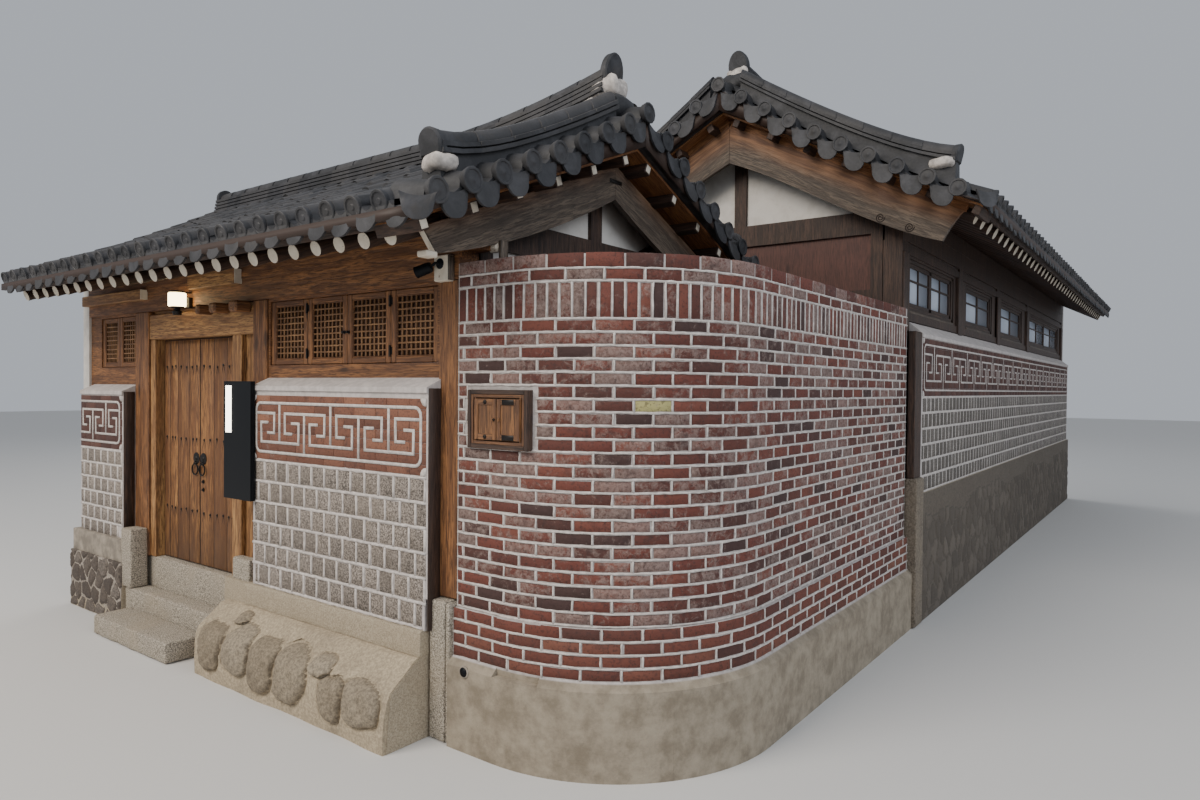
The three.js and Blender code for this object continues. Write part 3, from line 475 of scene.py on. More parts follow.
def timber(name, light, dark, along=None, wear=0.35, planks=False):
    """Wood: noise stretched along the grain gives the figure, a finer one the pores, and stretched cells
    give knots. The grain runs as the piece's grain coordinates say, or along the given axis. Planks
    take their own shade from the tone attribute."""
    m = Look(name, Roughness=0.62)
    axes = (m.x, m.y, m.z) if along else m.grain()
    fine, coarse = ([long if axis == (along or "x") else short for axis in "xyz"]
                    for long, short in ((1, 12), (1.6, 5)))
    x, y, z = (axis * scale for axis, scale in zip(axes, fine))
    if planks:
        x, z = x + m.tone() * 37, z + m.tone() * 11
    at = m.vector(x, y, z)
    figure = m.step(m.noise(1.5, 5, 0.62, 1.4, at), 0.35, 0.65)
    pores = m.noise(9.0, 3, 0.7, 0.2, at)
    broad = m.step(m.noise(1.1, 2, 0.5, 0.3), 0.35, 0.7)
    knot_at = m.vector(*(axis * scale for axis, scale in zip(axes, coarse)))
    knot = 1 - m.step(m.cells(1.0, knot_at), 0.05, 0.13)
    colour = m.mix(figure, dark, light)
    colour = m.mix(1 - m.step(pores, 0.35, 0.58) * 0.85, colour, tint(dark, 0.5))
    colour = m.mix(broad * wear, colour, tint(dark, 0.75))
    colour = m.mix(knot * 0.8, colour, tint(dark, 0.25))
    if planks:
        colour = m.mix(m.step(m.tone(), 0.0, 1.0) * 0.55, colour, tint(dark, 0.6))
    return m, colour, figure, pores


def finish_timber(m, colour, figure, pores, depth=0.004):
    return m.finish(Base_Color=colour, Normal=m.bump(figure * 0.5 + pores, depth, 0.7))


def wood(name, shades, **more):
    return finish_timber(*timber(name, *shades, **more))


def stone_look(name, base, dark, pale, scale, cast=(0.33, 0.27, 0.19), speckle=0.5, by_tone=0.0):
    """Granite: fine noise picks dark and pale grains, cells set dark flecks between them, and broad noise
    adds damp stains. Every stone is darkened by its tone times by_tone."""
    m = Look(name, Roughness=0.88)
    grain = m.noise(scale, 2, 0.8)
    flecks = m.cells(scale * 0.55)
    colour = m.mix(m.step(grain, 0.38, 0.62), dark, pale)
    colour = m.mix(1 - speckle, colour, base)
    colour = m.mix((1 - m.step(flecks, 0.05, 0.32)) * speckle, colour, tint(dark, 0.5))
    stain = m.step(m.noise(2.3, 4, 0.6, 0.5), 0.45, 0.75)
    colour = m.mix(stain * 0.45, colour, cast)
    if by_tone:
        colour = m.mix(m.step(m.tone(), 0.0, 1.0) * by_tone, colour, tint(dark, 0.9))
    height = grain * 0.6 + m.noise(14, 4, 0.6) * 1.2
    return m.finish(Base_Color=colour, Normal=m.bump(height, 0.006, 0.7))


def tile_look():
    """Fired clay tile: charcoal with paler worn patches and fine grit, brownish where moss and dirt lie."""
    m = Look("roof_tile", Roughness=0.62)
    worn = m.step(m.noise(5.5, 5, 0.62, 0.6), 0.4, 0.75)
    grit = m.noise(60, 3, 0.6)
    colour = m.mix(worn, (0.013, 0.014, 0.017), (0.046, 0.047, 0.054))
    colour = m.mix(m.step(m.tone(), 0.0, 1.0) * 0.5, colour, (0.066, 0.062, 0.061))
    moss = m.step(m.noise(2.4, 6, 0.7, 0.4), 0.58, 0.75)
    colour = m.mix(moss * 0.4, colour, (0.062, 0.047, 0.032))
    return m.finish(Base_Color=colour, Roughness=0.5 + grit * 0.3,
                    Normal=m.bump(grit * 0.4 + m.noise(11, 3) * 1.2, 0.004, 0.6))


def brick_look(name, residue, *reds):
    """Old brick: each brick's tone picks its red, and noise leaves dark burns and, the more of it the higher
    residue is, greyish lime."""
    m = Look(name, Roughness=0.86)
    tone = m.tone()
    colour = m.ramp(tone, reds)
    grit = m.noise(48, 5, 0.7)
    share = m.math("FRACT", tone * 7.3)
    edge = 1.12 - residue * 0.45
    lime = m.step(m.noise(24, 6, 0.75, 0.5) + m.noise(3.1, 3, 0.55, 0.6) * 0.4 + share * 0.34,
                  edge, edge + 0.18)
    cover = lime * 0.60
    pale = m.mix(m.step(grit, 0.4, 0.62), (0.33, 0.255, 0.225), (0.20, 0.145, 0.125))
    colour = m.mix(cover, colour, pale)
    colour = m.mix(m.step(m.noise(75, 3, 0.6), 0.52, 0.66) * 0.55, colour, (0.035, 0.018, 0.016))
    burn = m.step(m.noise(13, 4, 0.65, 0.4), 0.52, 0.75)
    colour = m.mix(burn * 0.6, colour, (0.040, 0.020, 0.018))
    return m.finish(Base_Color=colour, Normal=m.bump(grit + m.noise(15, 3) * 0.8, 0.006, 0.8))


def plain_look(name, colour, rough, speck=0.0, scale=30.0, dirt=0.0, **fixed):
    """One even finish, mottled by speck and with patches of dirt."""
    m = Look(name, Roughness=rough, **fixed)
    shade = colour
    if speck:
        mottle = m.step(m.noise(scale, 4, 0.6), 0.35, 0.7)
        shade = m.mix(mottle, tint(colour, 1 - speck), tint(colour, 1 + speck))
    if dirt:
        grime = m.step(m.noise(3.0, 5, 0.65, 0.6), 0.4, 0.75)
        shade = m.mix(grime * dirt, shade, tint(colour, 0.45))
    m.finish(Base_Color=shade)
    if speck:
        m.finish(Normal=m.bump(m.noise(scale * 1.7, 4, 0.6), 0.003, 0.6))
    return m.material


def glow_look(name, colour, strength):
    look = Look(name, Roughness=0.4, Base_Color=colour, Emission_Color=colour, Emission_Strength=strength)
    return look.material


def board_look():
    """Bargeboards: weathered grey at the lower edge, by tone warmer towards the tiles."""
    m, colour, figure, pores = timber("bargeboard_wood", *GREY)
    warm = m.mix(figure, (0.125, 0.052, 0.024), (0.31, 0.150, 0.068))
    rise = m.step(m.tone() + (m.noise(2.5, 3) - 0.5) * 0.35, 0.25, 0.85)
    return finish_timber(m, m.mix(rise * 0.85, colour, warm), figure, pores, 0.006)


def painted_look():
    """Old cream paint on end grain, flaked off in spots."""
    m = Look("flaking_paint", Roughness=0.8)
    flakes = m.step(m.noise(38, 5, 0.7, 0.5), 0.62, 0.68)
    stain = m.step(m.noise(13, 4, 0.6), 0.35, 0.75)
    cream = m.mix(stain * 0.5, (0.66, 0.60, 0.50), (0.42, 0.35, 0.26))
    return m.finish(Base_Color=m.mix(flakes * 0.8, cream, (0.13, 0.075, 0.042)))


def plank_look():
    """Gate planks: rust and weather run down for a hand's breadth under each row of nails."""
    m, colour, figure, pores = timber("gate_plank_wood", *PLANK_WOOD, planks=True, wear=0.5)
    streaks = m.step(m.noise(1.0, 2, 0.5, 0.0, m.vector(m.x * 55, m.y * 4, m.z * 3)), 0.52, 0.70)
    for z in NAIL_ROWS:
        run = m.step(m.z, z - 0.10, z) * (1 - m.step(m.z, z, z + 0.006))
        colour = m.mix(run * streaks * 0.45, colour, (0.075, 0.036, 0.018))
    foot = 1 - m.step(m.z + (m.noise(6, 3) - 0.5) * 0.5, 0.5, 1.1)
    colour = m.mix(foot * 0.4, colour, (0.115, 0.066, 0.038))
    return finish_timber(m, colour, figure, pores)


def leaf_look():
    """Body of a gate leaf: its front, seen only in the joints between the planks, is painted near black as
    shade in those joints; plain wood on the courtyard side.
    """
    m, colour, figure, pores = timber("gate_leaf_wood", *ORANGE, along="z")
    back = m.step(m.y, LEAF_BACK - 0.003, LEAF_BACK + 0.003)
    return finish_timber(m, m.mix(back, (0.025, 0.013, 0.008), colour), figure, pores)


def bedding_look():
    """Mortar bed of the brick wall, with a cement foot below the first course."""
    m = Look("brick_bedding", Roughness=0.92)
    mottle = m.step(m.noise(34, 4, 0.6), 0.35, 0.7)
    joint = m.mix(mottle, (0.40, 0.365, 0.345), (0.52, 0.485, 0.46))
    grime = m.step(m.noise(3.0, 5, 0.65, 0.6), 0.4, 0.75)
    joint = m.mix(grime * 0.35, joint, (0.24, 0.20, 0.19))
    foot = m.mix(m.step(m.noise(9, 5, 0.65), 0.3, 0.7), (0.20, 0.165, 0.12), (0.34, 0.29, 0.22))
    colour = m.mix(m.step(m.z, FOOT_TOP - 0.004, FOOT_TOP + 0.004), foot, joint)
    return m.finish(Base_Color=colour, Normal=m.bump(m.noise(58, 4, 0.6) + m.noise(12, 3) * 0.7, 0.004, 0.7))


def gable_look(name, board_z, light, dark):
    """Gable infill: lime plaster above, reddish boards or clay below the tie beam."""
    m, boards, figure, pores = timber(name, light, dark, "z")
    stain = m.step(m.noise(7, 5, 0.65, 0.4), 0.4, 0.75)
    plaster = m.mix(stain * 0.5, (0.66, 0.63, 0.585), (0.46, 0.42, 0.365))
    colour = m.mix(m.step(m.z, board_z - 0.004, board_z + 0.004), boards, plaster)
    return finish_timber(m, colour, figure, pores, 0.0015)


def rubble_look(name, grit, mortar, *stones):
    """Field stones in mortar: tone 0 is mortar, and from 0.2 up it picks the stone's own shade."""
    m = Look(name, Roughness=0.9)
    fine, broad = m.noise(62, 3, 0.7), m.noise(11, 4, 0.6)
    mottled = m.mix(m.step(fine, 0.35, 0.68), tint(mortar, 0.72), tint(mortar, 1.15))
    stone = m.mix(m.step(fine, 0.36, 0.66) * grit, m.ramp(m.tone(), stones), (0.030, 0.026, 0.024))
    colour = m.mix(m.step(m.tone() + (broad - 0.5) * 0.15, 0.06, 0.13), mottled, stone)
    grime = m.step(m.noise(2.6, 5, 0.65, 0.6), 0.42, 0.75)
    colour = m.mix(grime * 0.35, colour, (0.085, 0.066, 0.048))
    return m.finish(Base_Color=colour, Normal=m.bump(fine * 0.7 + broad, 0.008, 0.8))


# Light and dark shade of each wood
ORANGE = ((0.38, 0.168, 0.058), (0.130, 0.052, 0.019))
HONEY = ((0.55, 0.300, 0.112), (0.23, 0.105, 0.037))
GREY = ((0.19, 0.145, 0.105), (0.07, 0.05, 0.036))
UMBER = ((0.090, 0.047, 0.029), (0.034, 0.017, 0.011))
# orange-brown of the soffit boards: their own hue, made brighter as painted light in the shade under the
# verges
RUSSET_WITH_PAINTED_LIGHT = ((0.48, 0.215, 0.075), (0.24, 0.095, 0.032))
PLANK_WOOD = ((0.50, 0.240, 0.076), (0.165, 0.064, 0.021))

FOOT_TOP = 0.482                         # top of the brick wall's cement foot
NAIL_ROWS = (0.960, 1.525, 2.088)        # heights of the nails in the gate leaves
LEAF_FOOT, LEAF_TOP, LEAF_FACE = 0.553, 2.304, 0.090
LEAF_BACK = SHIFT[1] + 0.097             # where a leaf's bare yard side begins, in the row frame

TILE = tile_look()
BRICK = brick_look("old_brick", 0.68, (0.0, (0.050, 0.026, 0.023)), (0.3, (0.090, 0.031, 0.023)),
                   (0.6, (0.130, 0.037, 0.026)), (0.93, (0.170, 0.054, 0.036)), (1.0, (0.40, 0.36, 0.15)))
PLINTH = brick_look("plinth_brick", 0.15, (0.0, (0.070, 0.028, 0.022)), (0.5, (0.140, 0.042, 0.028)),
                    (1.0, (0.19, 0.075, 0.048)))
BAND = brick_look("band_brick", 0.1, (0.0, (0.105, 0.044, 0.029)), (0.5, (0.180, 0.074, 0.046)),
                  (1.0, (0.27, 0.120, 0.072)))
DARK_BAND = brick_look("dark_band_brick", 0.1, (0.0, (0.055, 0.024, 0.020)), (0.5, (0.085, 0.036, 0.028)),
                       (1.0, (0.12, 0.055, 0.042)))
JOINT = plain_look("white_mortar", (0.58, 0.535, 0.50), 0.92, 0.16, 34.0, 0.25)
LIME = plain_look("ridge_mortar", (0.52, 0.475, 0.435), 0.9, 0.28, 22.0, 0.5)
CAP = plain_look("panel_cap", (0.50, 0.46, 0.44), 0.9, 0.12, 20.0, 0.15)
CEMENT = plain_look("cement", (0.30, 0.26, 0.21), 0.92, 0.3, 9.0, 0.4)
GRANITE = stone_look("granite", (0.30, 0.26, 0.20), (0.085, 0.072, 0.056), (0.56, 0.50, 0.41), 120.0,
                     speckle=0.75)
SHADED_BLOCK = stone_look("shaded_blocks", (0.125, 0.108, 0.094), (0.040, 0.034, 0.029), (0.26, 0.23, 0.20),
                          100.0, (0.12, 0.10, 0.085), 0.8, 0.35)
BLOCK = stone_look("granite_blocks", (0.225, 0.190, 0.160), (0.052, 0.044, 0.037), (0.44, 0.38, 0.33),
                   100.0, (0.20, 0.165, 0.130), 0.8, 0.35)
SAND = stone_look("beige_stone", (0.36, 0.30, 0.215), (0.20, 0.16, 0.11), (0.50, 0.43, 0.32), 120.0,
                  (0.30, 0.24, 0.16))
ROUGH = stone_look("field_stone", (0.185, 0.150, 0.112), (0.060, 0.048, 0.036), (0.34, 0.285, 0.22), 70.0,
                   by_tone=0.35)
SAND_RUBBLE = rubble_look("sand_rubble", 0.5, (0.42, 0.345, 0.240), (0.15, (0.25, 0.20, 0.135)),
                          (0.6, (0.31, 0.255, 0.180)), (1.0, (0.38, 0.32, 0.235)))
DARK_RUBBLE = rubble_look("dark_rubble", 0.6, (0.36, 0.315, 0.265), (0.15, (0.075, 0.058, 0.048)),
                          (0.6, (0.125, 0.100, 0.082)), (1.0, (0.19, 0.16, 0.135)))
# dark cement and stones: partly their own dark colour, partly painted shade of the recess under the side
# panel
SHADED_CEMENT_RUBBLE = rubble_look("cement_rubble", 0.35, (0.130, 0.108, 0.085), (0.15, (0.085, 0.070, 0.055)),
                            (0.6, (0.120, 0.099, 0.078)), (1.0, (0.16, 0.134, 0.107)))
PLASTER = plain_look("party_plaster", (0.60, 0.57, 0.53), 0.9, 0.08, 12.0, 0.2)
IRON = plain_look("dark_iron", (0.022, 0.020, 0.019), 0.45, Metallic=0.75)
BLACK = plain_look("black_panel", (0.007, 0.008, 0.010), 0.42, Specular_IOR_Level=0.12)
GLASS = plain_look("window_glass", (0.50, 0.56, 0.66), 0.07)
# painted shadow that the nail heads cast down on the gate planks
NAIL_SHADOW = plain_look("rust_streak", (0.040, 0.018, 0.010), 0.85)
PAPER = plain_look("shaded_paper", (0.060, 0.026, 0.016), 0.8)
# near-black strips stand for the painted shade in the carved grooves of the curls
GROOVE_SHADE_LINE = plain_look("carved_line", (0.018, 0.010, 0.007), 0.8)
GLOW = glow_look("lantern_glow", (1.0, 0.78, 0.42), 9.0)
STRIP = glow_look("strip_glow", (1.0, 0.95, 0.82), 5.0)
LATTICE = wood("lattice_wood", ((0.42, 0.225, 0.095), (0.20, 0.095, 0.038)), wear=0.2)
FRONT, FRONT_X = wood("front_timber", ORANGE), wood("front_timber_across", ORANGE, along="x")
DARK, DARK_Z = wood("side_timber", UMBER), wood("side_timber_upright", UMBER, along="z")
# the soffit boards' colour holds painted light: brightened to look lit in the shade under the verge
GATE_WOOD, OLD, SOFFIT_WITH_PAINTED_LIGHT = wood("gate_timber", HONEY), wood("old_timber", GREY), wood("verge_boards", RUSSET_WITH_PAINTED_LIGHT)
HATCH_WOOD = wood("hatch_wood", ((0.31, 0.142, 0.054), (0.115, 0.050, 0.022)))
HATCH_LEAF = wood("hatch_leaf_wood", ((0.36, 0.165, 0.060), (0.13, 0.058, 0.024)), along="z")
PAINTED, BOARD, PLANK, BEDDING = painted_look(), board_look(), plank_look(), bedding_look()

# Roof lines of the two wings, as in the solids


class Wing:
    """One wing's measures and frame. origin is the site place under the ridge's end at the free gable; a
    turned wing's ridge runs back along the side street."""

    def __init__(self, **values):
        self.__dict__.update(values)
        self.rise = math.hypot(1, self.slope)

    def place(self, u, v, w):
        u, v, w = np.broadcast_arrays(u, v, w)
        x, y = self.origin
        if self.turned:
            return np.stack([x + v, y - u, w], -1)
        return np.stack([x + u, y + v, w], -1)

    def turn(self, u, v):
        """Direction of (u, v) in the site frame."""
        return self.place(float(u), float(v), 0.0) - self.place(0.0, 0.0, 0.0)

    def normal(self, side):
        return UP + side * self.slope * self.turn(0, 1)

    def tile_line(self, v):
        s = np.abs(v) / self.eave
        return self.ridge_tile + (self.eave_tile - self.ridge_tile) * s - 4 * self.sag * s * (1 - s)

    def verge_line(self, v):
        return self.tile_line(v) - SEAT - self.verge_drop

    def bed_line(self, v):
        return self.bed - self.slope * np.abs(v)

    def ridge_line(self, u):
        t = np.clip((u - self.ridge_to + 1.75) / 1.75, 0, None)
        return self.ridge_top + (self.ridge_tip - 0.07 - self.ridge_top) * t ** 2

    def span(self, v, w):
        """Both ends of a timber that runs the wing's whole length."""
        return [self.place(u, v, w) for u in (0.1203 - self.length, -0.0003)]


GATE = Wing(turned=False, name="gate", origin=(0.0, 1.25), length=4.87, eave=1.87, verge=0.40, slope=0.41,
            bed=3.497, ridge_tile=3.76, eave_tile=2.88, sag=0.045, hip_u=0.18, hip_from=0.13, hip_to=1.61,
            ridge_top=3.885, ridge_from=-4.76, ridge_to=0.11, ridge_tip=4.15, verge_pitch=0.222,
            verge_drop=0.0, leaf=0.140, rafter_end=1.76, rafter_r=0.045, rafter_first=0.055,
            rafter_pitch=0.205, lookout=0.32, board=0.15, board_end=1.64, board_worn=0.55,
            board_low=((0, 3.190), (0.60, 2.915), (1.16, 2.717), (1.55, 2.621)))
SIDE = Wing(turned=True, name="side", origin=(-0.19, 3.73), length=10.17, eave=2.19, verge=0.45, slope=0.51,
            bed=4.423, ridge_tile=4.74, eave_tile=3.46, sag=0.06, hip_u=0.26, hip_from=0.15, hip_to=1.95,
            ridge_top=4.90, ridge_from=-10.17, ridge_to=0.06, ridge_tip=5.06, verge_pitch=0.222,
            verge_drop=0.045, leaf=0.163, rafter_end=2.06, rafter_r=0.048, rafter_first=0.130,
            rafter_pitch=0.245, lookout=0.36, board=0.23, board_end=1.99, board_worn=1.0,
            board_low=((0, 4.000), (0.70, 3.655), (1.30, 3.330), (1.84, 3.110)))

PITCH = 0.205        # one row of cover tiles to the next
COVER_R = 0.056      # radius of a cover tile
COURSE = 0.165       # length of a tile that shows
SEAT = 0.075         # bed of the cover tiles under the tile line
DISC = [(-0.03, 0.050), (0.0, 0.058), (0.010, 0.060), (0.014, 0.057), (0.014, 0.047), (0.008, 0.043),
        (0.008, 0.018), (0.013, 0.012)]


def boxed(wing, *corners):
    """Closed body along a run whose section has the given corners (u, v, w)."""
    return sweep(np.stack([wing.place(*corner) for corner in corners], 1))


def profile(pitch, hollow, arc=7):
    """Across one pitch: half circle of the cover, then the parabola of the hollow tile. Returns
    offsets, heights and 1 for the cover's points."""
    a = np.linspace(np.pi, 0, arc)
    half = pitch / 2 - COVER_R
    t = np.linspace(-1, 1, 5)
    x = np.concatenate([COVER_R * np.cos(a), pitch / 2 + t * half])
    h = np.concatenate([0.012 + COVER_R * np.sin(a), -hollow * (1 - t ** 2)])
    return x, h, np.concatenate([np.ones(arc), np.zeros(5)])


def eave_rows(wing):
    """Middles of the rows of cover tiles along the ridge, and their pitch."""
    low, high = -wing.length, wing.hip_u + 0.04
    count = round((high - low) / PITCH)
    pitch = (high - low) / count
    return low + pitch * (np.arange(count) + 0.5), pitch


def roof_tiles(wing, side):
    """Tiled slope over (row, distance down). Each course climbs by its lap to its lower end and drops
    back at the next tile, and every tile is shifted a few millimetres at random."""
    middles, pitch = eave_rows(wing)
    rows, courses = len(middles), round(wing.eave / COURSE)
    x, h, cover = (np.tile(a, rows)[:, None] for a in profile(pitch, 0.030))
    tile = np.repeat(np.arange(rows), len(x) // rows)[:, None]
    ends = np.linspace(0.02, wing.eave, courses + 1)
    v = np.stack([ends[:-1], ends[1:]], 1).ravel()
    lap, which = np.tile([0.0, 1.0], courses), np.repeat(np.arange(courses), 2)
    shift = rng.normal(0, 1, (3, 2, rows, courses))
    jit = [s[cover.astype(int), tile, which[None]] for s in shift]
    u = np.clip(middles[tile] + x + jit[0] * 0.0025 * cover, -wing.length, wing.hip_u + 0.04)
    down = np.clip(v + jit[1] * 0.005 * lap, 0, wing.eave)
    w = wing.tile_line(v) - SEAT + h + lap * (0.010 + 0.008 * (1 - cover)) + jit[2] * 0.0025
    tone = np.clip(0.5 + 0.35 * jit[1], 0, 1).ravel()
    points, faces = slab(wing.place(u, side * down, w), wing.place(u, side * down, wing.bed_line(down)))
    return points, faces, np.concatenate([tone, tone])


def tongue(width, out, across, down=0.125):
    """Drip end of a hollow tile: a plate whose upper edge follows the hollow and whose lower edge is a
    full rounded arc, leaning out by a fifth."""
    t = np.linspace(-1, 1, 11)
    top = -0.020 * (1 - t ** 2)
    low = -down * np.sqrt(np.clip(1 - np.abs(t) ** 2.6, 0, 1)) - 0.008
    b = np.array([0.0, 0.5, 1.0])[:, None]
    z = top * (1 - b) + low * b
    a = np.broadcast_to(t * width / 2, z.shape)
    lean = -0.2 * z + 0.006 * np.sin(np.pi * b)
    front = a[..., None] * across + lean[..., None] * out + z[..., None] * UP
    return slab(front, front - 0.014 * out)


def roof_ends(wing):
    """Round end discs of the covers in front of the drip tongues of the hollows, along both eaves and both
    verges, with one drip and one corner leaf where they meet."""
    parts = []

    def strew(part, u, v, w, tones):
        places = wing.place(u, v, w)
        places = places + rng.normal(0, 0.002, places.shape)
        parts.append(many(part, places, rng.uniform(*tones, len(places))))

    out_u = wing.turn(1, 0)
    rows, pitch = eave_rows(wing)
    spots = np.append(rows[:-1] + pitch / 2, rows[-1] + pitch * 0.55)
    steps = int(wing.eave / wing.verge_pitch)
    mid = wing.verge_pitch * (np.arange(steps) + 0.5)
    fall = (wing.tile_line(wing.eave) - wing.tile_line(wing.eave - 0.2)) / 0.2
    slope = (wing.tile_line(0.6) - wing.tile_line(0.5)) / 0.1
    z = wing.tile_line(wing.eave) - SEAT
    for side in (-1, 1):
        out_v = wing.turn(0, side)
        disc = turned([0, 0, 0], out_v + fall * UP, DISC)
        strew(disc, rows, side * wing.eave, z + 0.020, (0.2, 0.8))
        drip = tongue(0.178, out_v, out_u, 0.118)
        strew(drip, spots, side * (wing.eave - 0.014), z + 0.008, (0.1, 0.6))
        disc = turned([0, 0, 0], out_u, np.array(DISC) * [1.0, 1.12])
        v = wing.verge_pitch * np.arange(int(side < 0), steps + 1)
        strew(disc, wing.verge + 0.004, side * v, wing.verge_line(v) + 0.020, (0.2, 0.8))
        drip = tongue(0.19, out_u, out_v + 0.35 * slope * UP, wing.leaf)
        strew(drip, wing.verge - 0.010, side * mid, wing.verge_line(mid) + 0.012, (0.1, 0.6))
        diagonal = (out_u + out_v) / math.sqrt(2)
        corner = wing.place(wing.verge - 0.012, side * (wing.eave + 0.004), z + 0.030)
        parts.append(many(tongue(0.17, diagonal, np.cross(UP, diagonal)), corner[None], np.array([0.3])))
    return parts


def edge_boards(wing):
    """Dark boards that close the tile beds: along both eaves and down both verges, from the bed up to the
    seat of the tiles."""
    parts = []
    for side in (-1, 1):
        u = np.linspace(-wing.length + 0.002, wing.verge - 0.07, 24)
        inner, outer = side * (wing.eave - 0.03), side * (wing.eave + 0.004)
        low, high = wing.bed_line(wing.eave), wing.tile_line(wing.eave) - SEAT - 0.022
        board = boxed(wing, (u, inner, low), (u, outer, low), (u, outer, high), (u, inner, high))
        parts.append((*board, 0.4))
        v = np.linspace(0.0, wing.eave - 0.05, 14)
        low, high = wing.bed_line(v), wing.verge_line(v) - 0.020
        high = np.maximum(high, low + 0.006)
        inner, outer, v = wing.verge - 0.05, wing.verge - 0.014, side * v
        board = boxed(wing, (inner, v, low), (outer, v, low), (outer, v, high), (inner, v, high))
        parts.append((*board, 0.6))
    return parts


def verge_tiles(wing):
    """Short rows that point out over the gable: the same cross profile, laid down the slope, climbing from
    the verge to the descending ridge."""
    x, h, _ = profile(wing.verge_pitch, 0.018)
    count = int(wing.eave / wing.verge_pitch)
    k = np.arange(-count, count + 1)
    v, h = (k[:, None] * wing.verge_pitch + x).ravel(), np.tile(h, len(k))
    keep = np.abs(v) <= wing.eave
    order = np.argsort(v[keep], kind="stable")
    v, h = v[keep][order], h[keep][order]
    u, climb = np.array([[wing.hip_u - 0.04], [wing.verge - 0.02]]), np.array([[0.042], [0.0]])
    w = wing.verge_line(v) + h + climb
    low = np.minimum(wing.bed_line(v), w - 0.004)
    return [(*slab(wing.place(u, v, w), wing.place(u, v, low)), 0.4)]


def ridge_section(layers, cover_r, width):
    """Half section of a ridge from its top down: quarter circle of the cover tile, then flat tiles
    that stand out with grooves between them. Returns (distance from the middle, drop)."""
    a = np.linspace(0, np.pi / 2, 5)
    pts = [(cover_r * math.sin(t), cover_r * (1 - math.cos(t))) for t in a]
    z = cover_r + 0.004
    for i in range(layers):
        w = width + 0.006 * i
        pts += [(w - 0.022, z), (w, z + 0.003), (w, z + 0.026), (w - 0.022, z + 0.029)]
        z += 0.034
    return np.array(pts)


def ridge_run(path, out_dir, section, tile=0.24):
    """Carries the section along a path; the cover widens by a seventh towards each tile's lower end,
    which shows its joints."""
    length = np.concatenate([[0], np.cumsum(np.linalg.norm(np.diff(path, axis=0), axis=1))])
    count = max(2, round(length[-1] / tile))
    ends = np.linspace(0, length[-1], count + 1)
    at = np.stack([ends[:-1], (ends[:-1] + ends[1:]) / 2, ends[1:]], 1).ravel()
    swell = np.tile([0.945, 0.995, 1.08], count)
    spine = np.stack([np.interp(at, length, path[:, i]) for i in range(3)], 1)
    right = np.concatenate([section, section[::-1] * [-1, 1]])
    grown = np.abs(right[:, 1]) < 0.071
    off = right[None, :, :1] * np.where(grown[None], swell[:, None], 1.0)[..., None]
    rings = spine[:, None] + off * out_dir - right[None, :, 1:] * UP
    tone = np.repeat(rng.uniform(0.1, 0.9, count), 3 * rings.shape[1])
    return (*sweep(rings), tone)


def end_plate(wing, u, v, top, width, height, out, across, lean=0.22):
    """Upright end tile: a half ellipse on short straight sides, leaning out at its top."""
    turn = np.linspace(0, np.pi, 13)
    arc = np.stack([width / 2 * np.cos(turn), height * 0.45 + height * 0.55 * np.sin(turn)], 1)
    outline = np.concatenate([arc, [[-width / 2 * 0.86, 0.0], [width / 2 * 0.86, 0.0]]])
    base = wing.place(u, v, top - height)

    def at(a, b, d):
        return base + a[:, None] * across + b[:, None] * UP + (d + lean * b ** 1.3)[:, None] * out
    return (*plate(outline, at, -0.03, 0.02, 0.012), 0.2)


def lump(centre, radii, seed, rough=0.12):
    """Hand-laid mortar: a rounded block, each direction's radius raised by sines of its angles."""
    a, b = np.meshgrid(np.linspace(-np.pi / 2, np.pi / 2, 9)[1:-1], circle(16), indexing="ij")

    def power(t):
        return np.sign(t) * np.abs(t) ** 0.7
    flat = power(np.cos(a))
    d = np.stack([flat * power(np.cos(b)), flat * power(np.sin(b)), power(np.sin(a))], -1)
    swell = 1 + rough * (np.sin(3 * b + seed) * np.cos(2 * a + seed * 1.7) + 0.6 * np.sin(5 * b - seed * 2.3))
    return sweep(centre + d * swell[..., None] * radii)


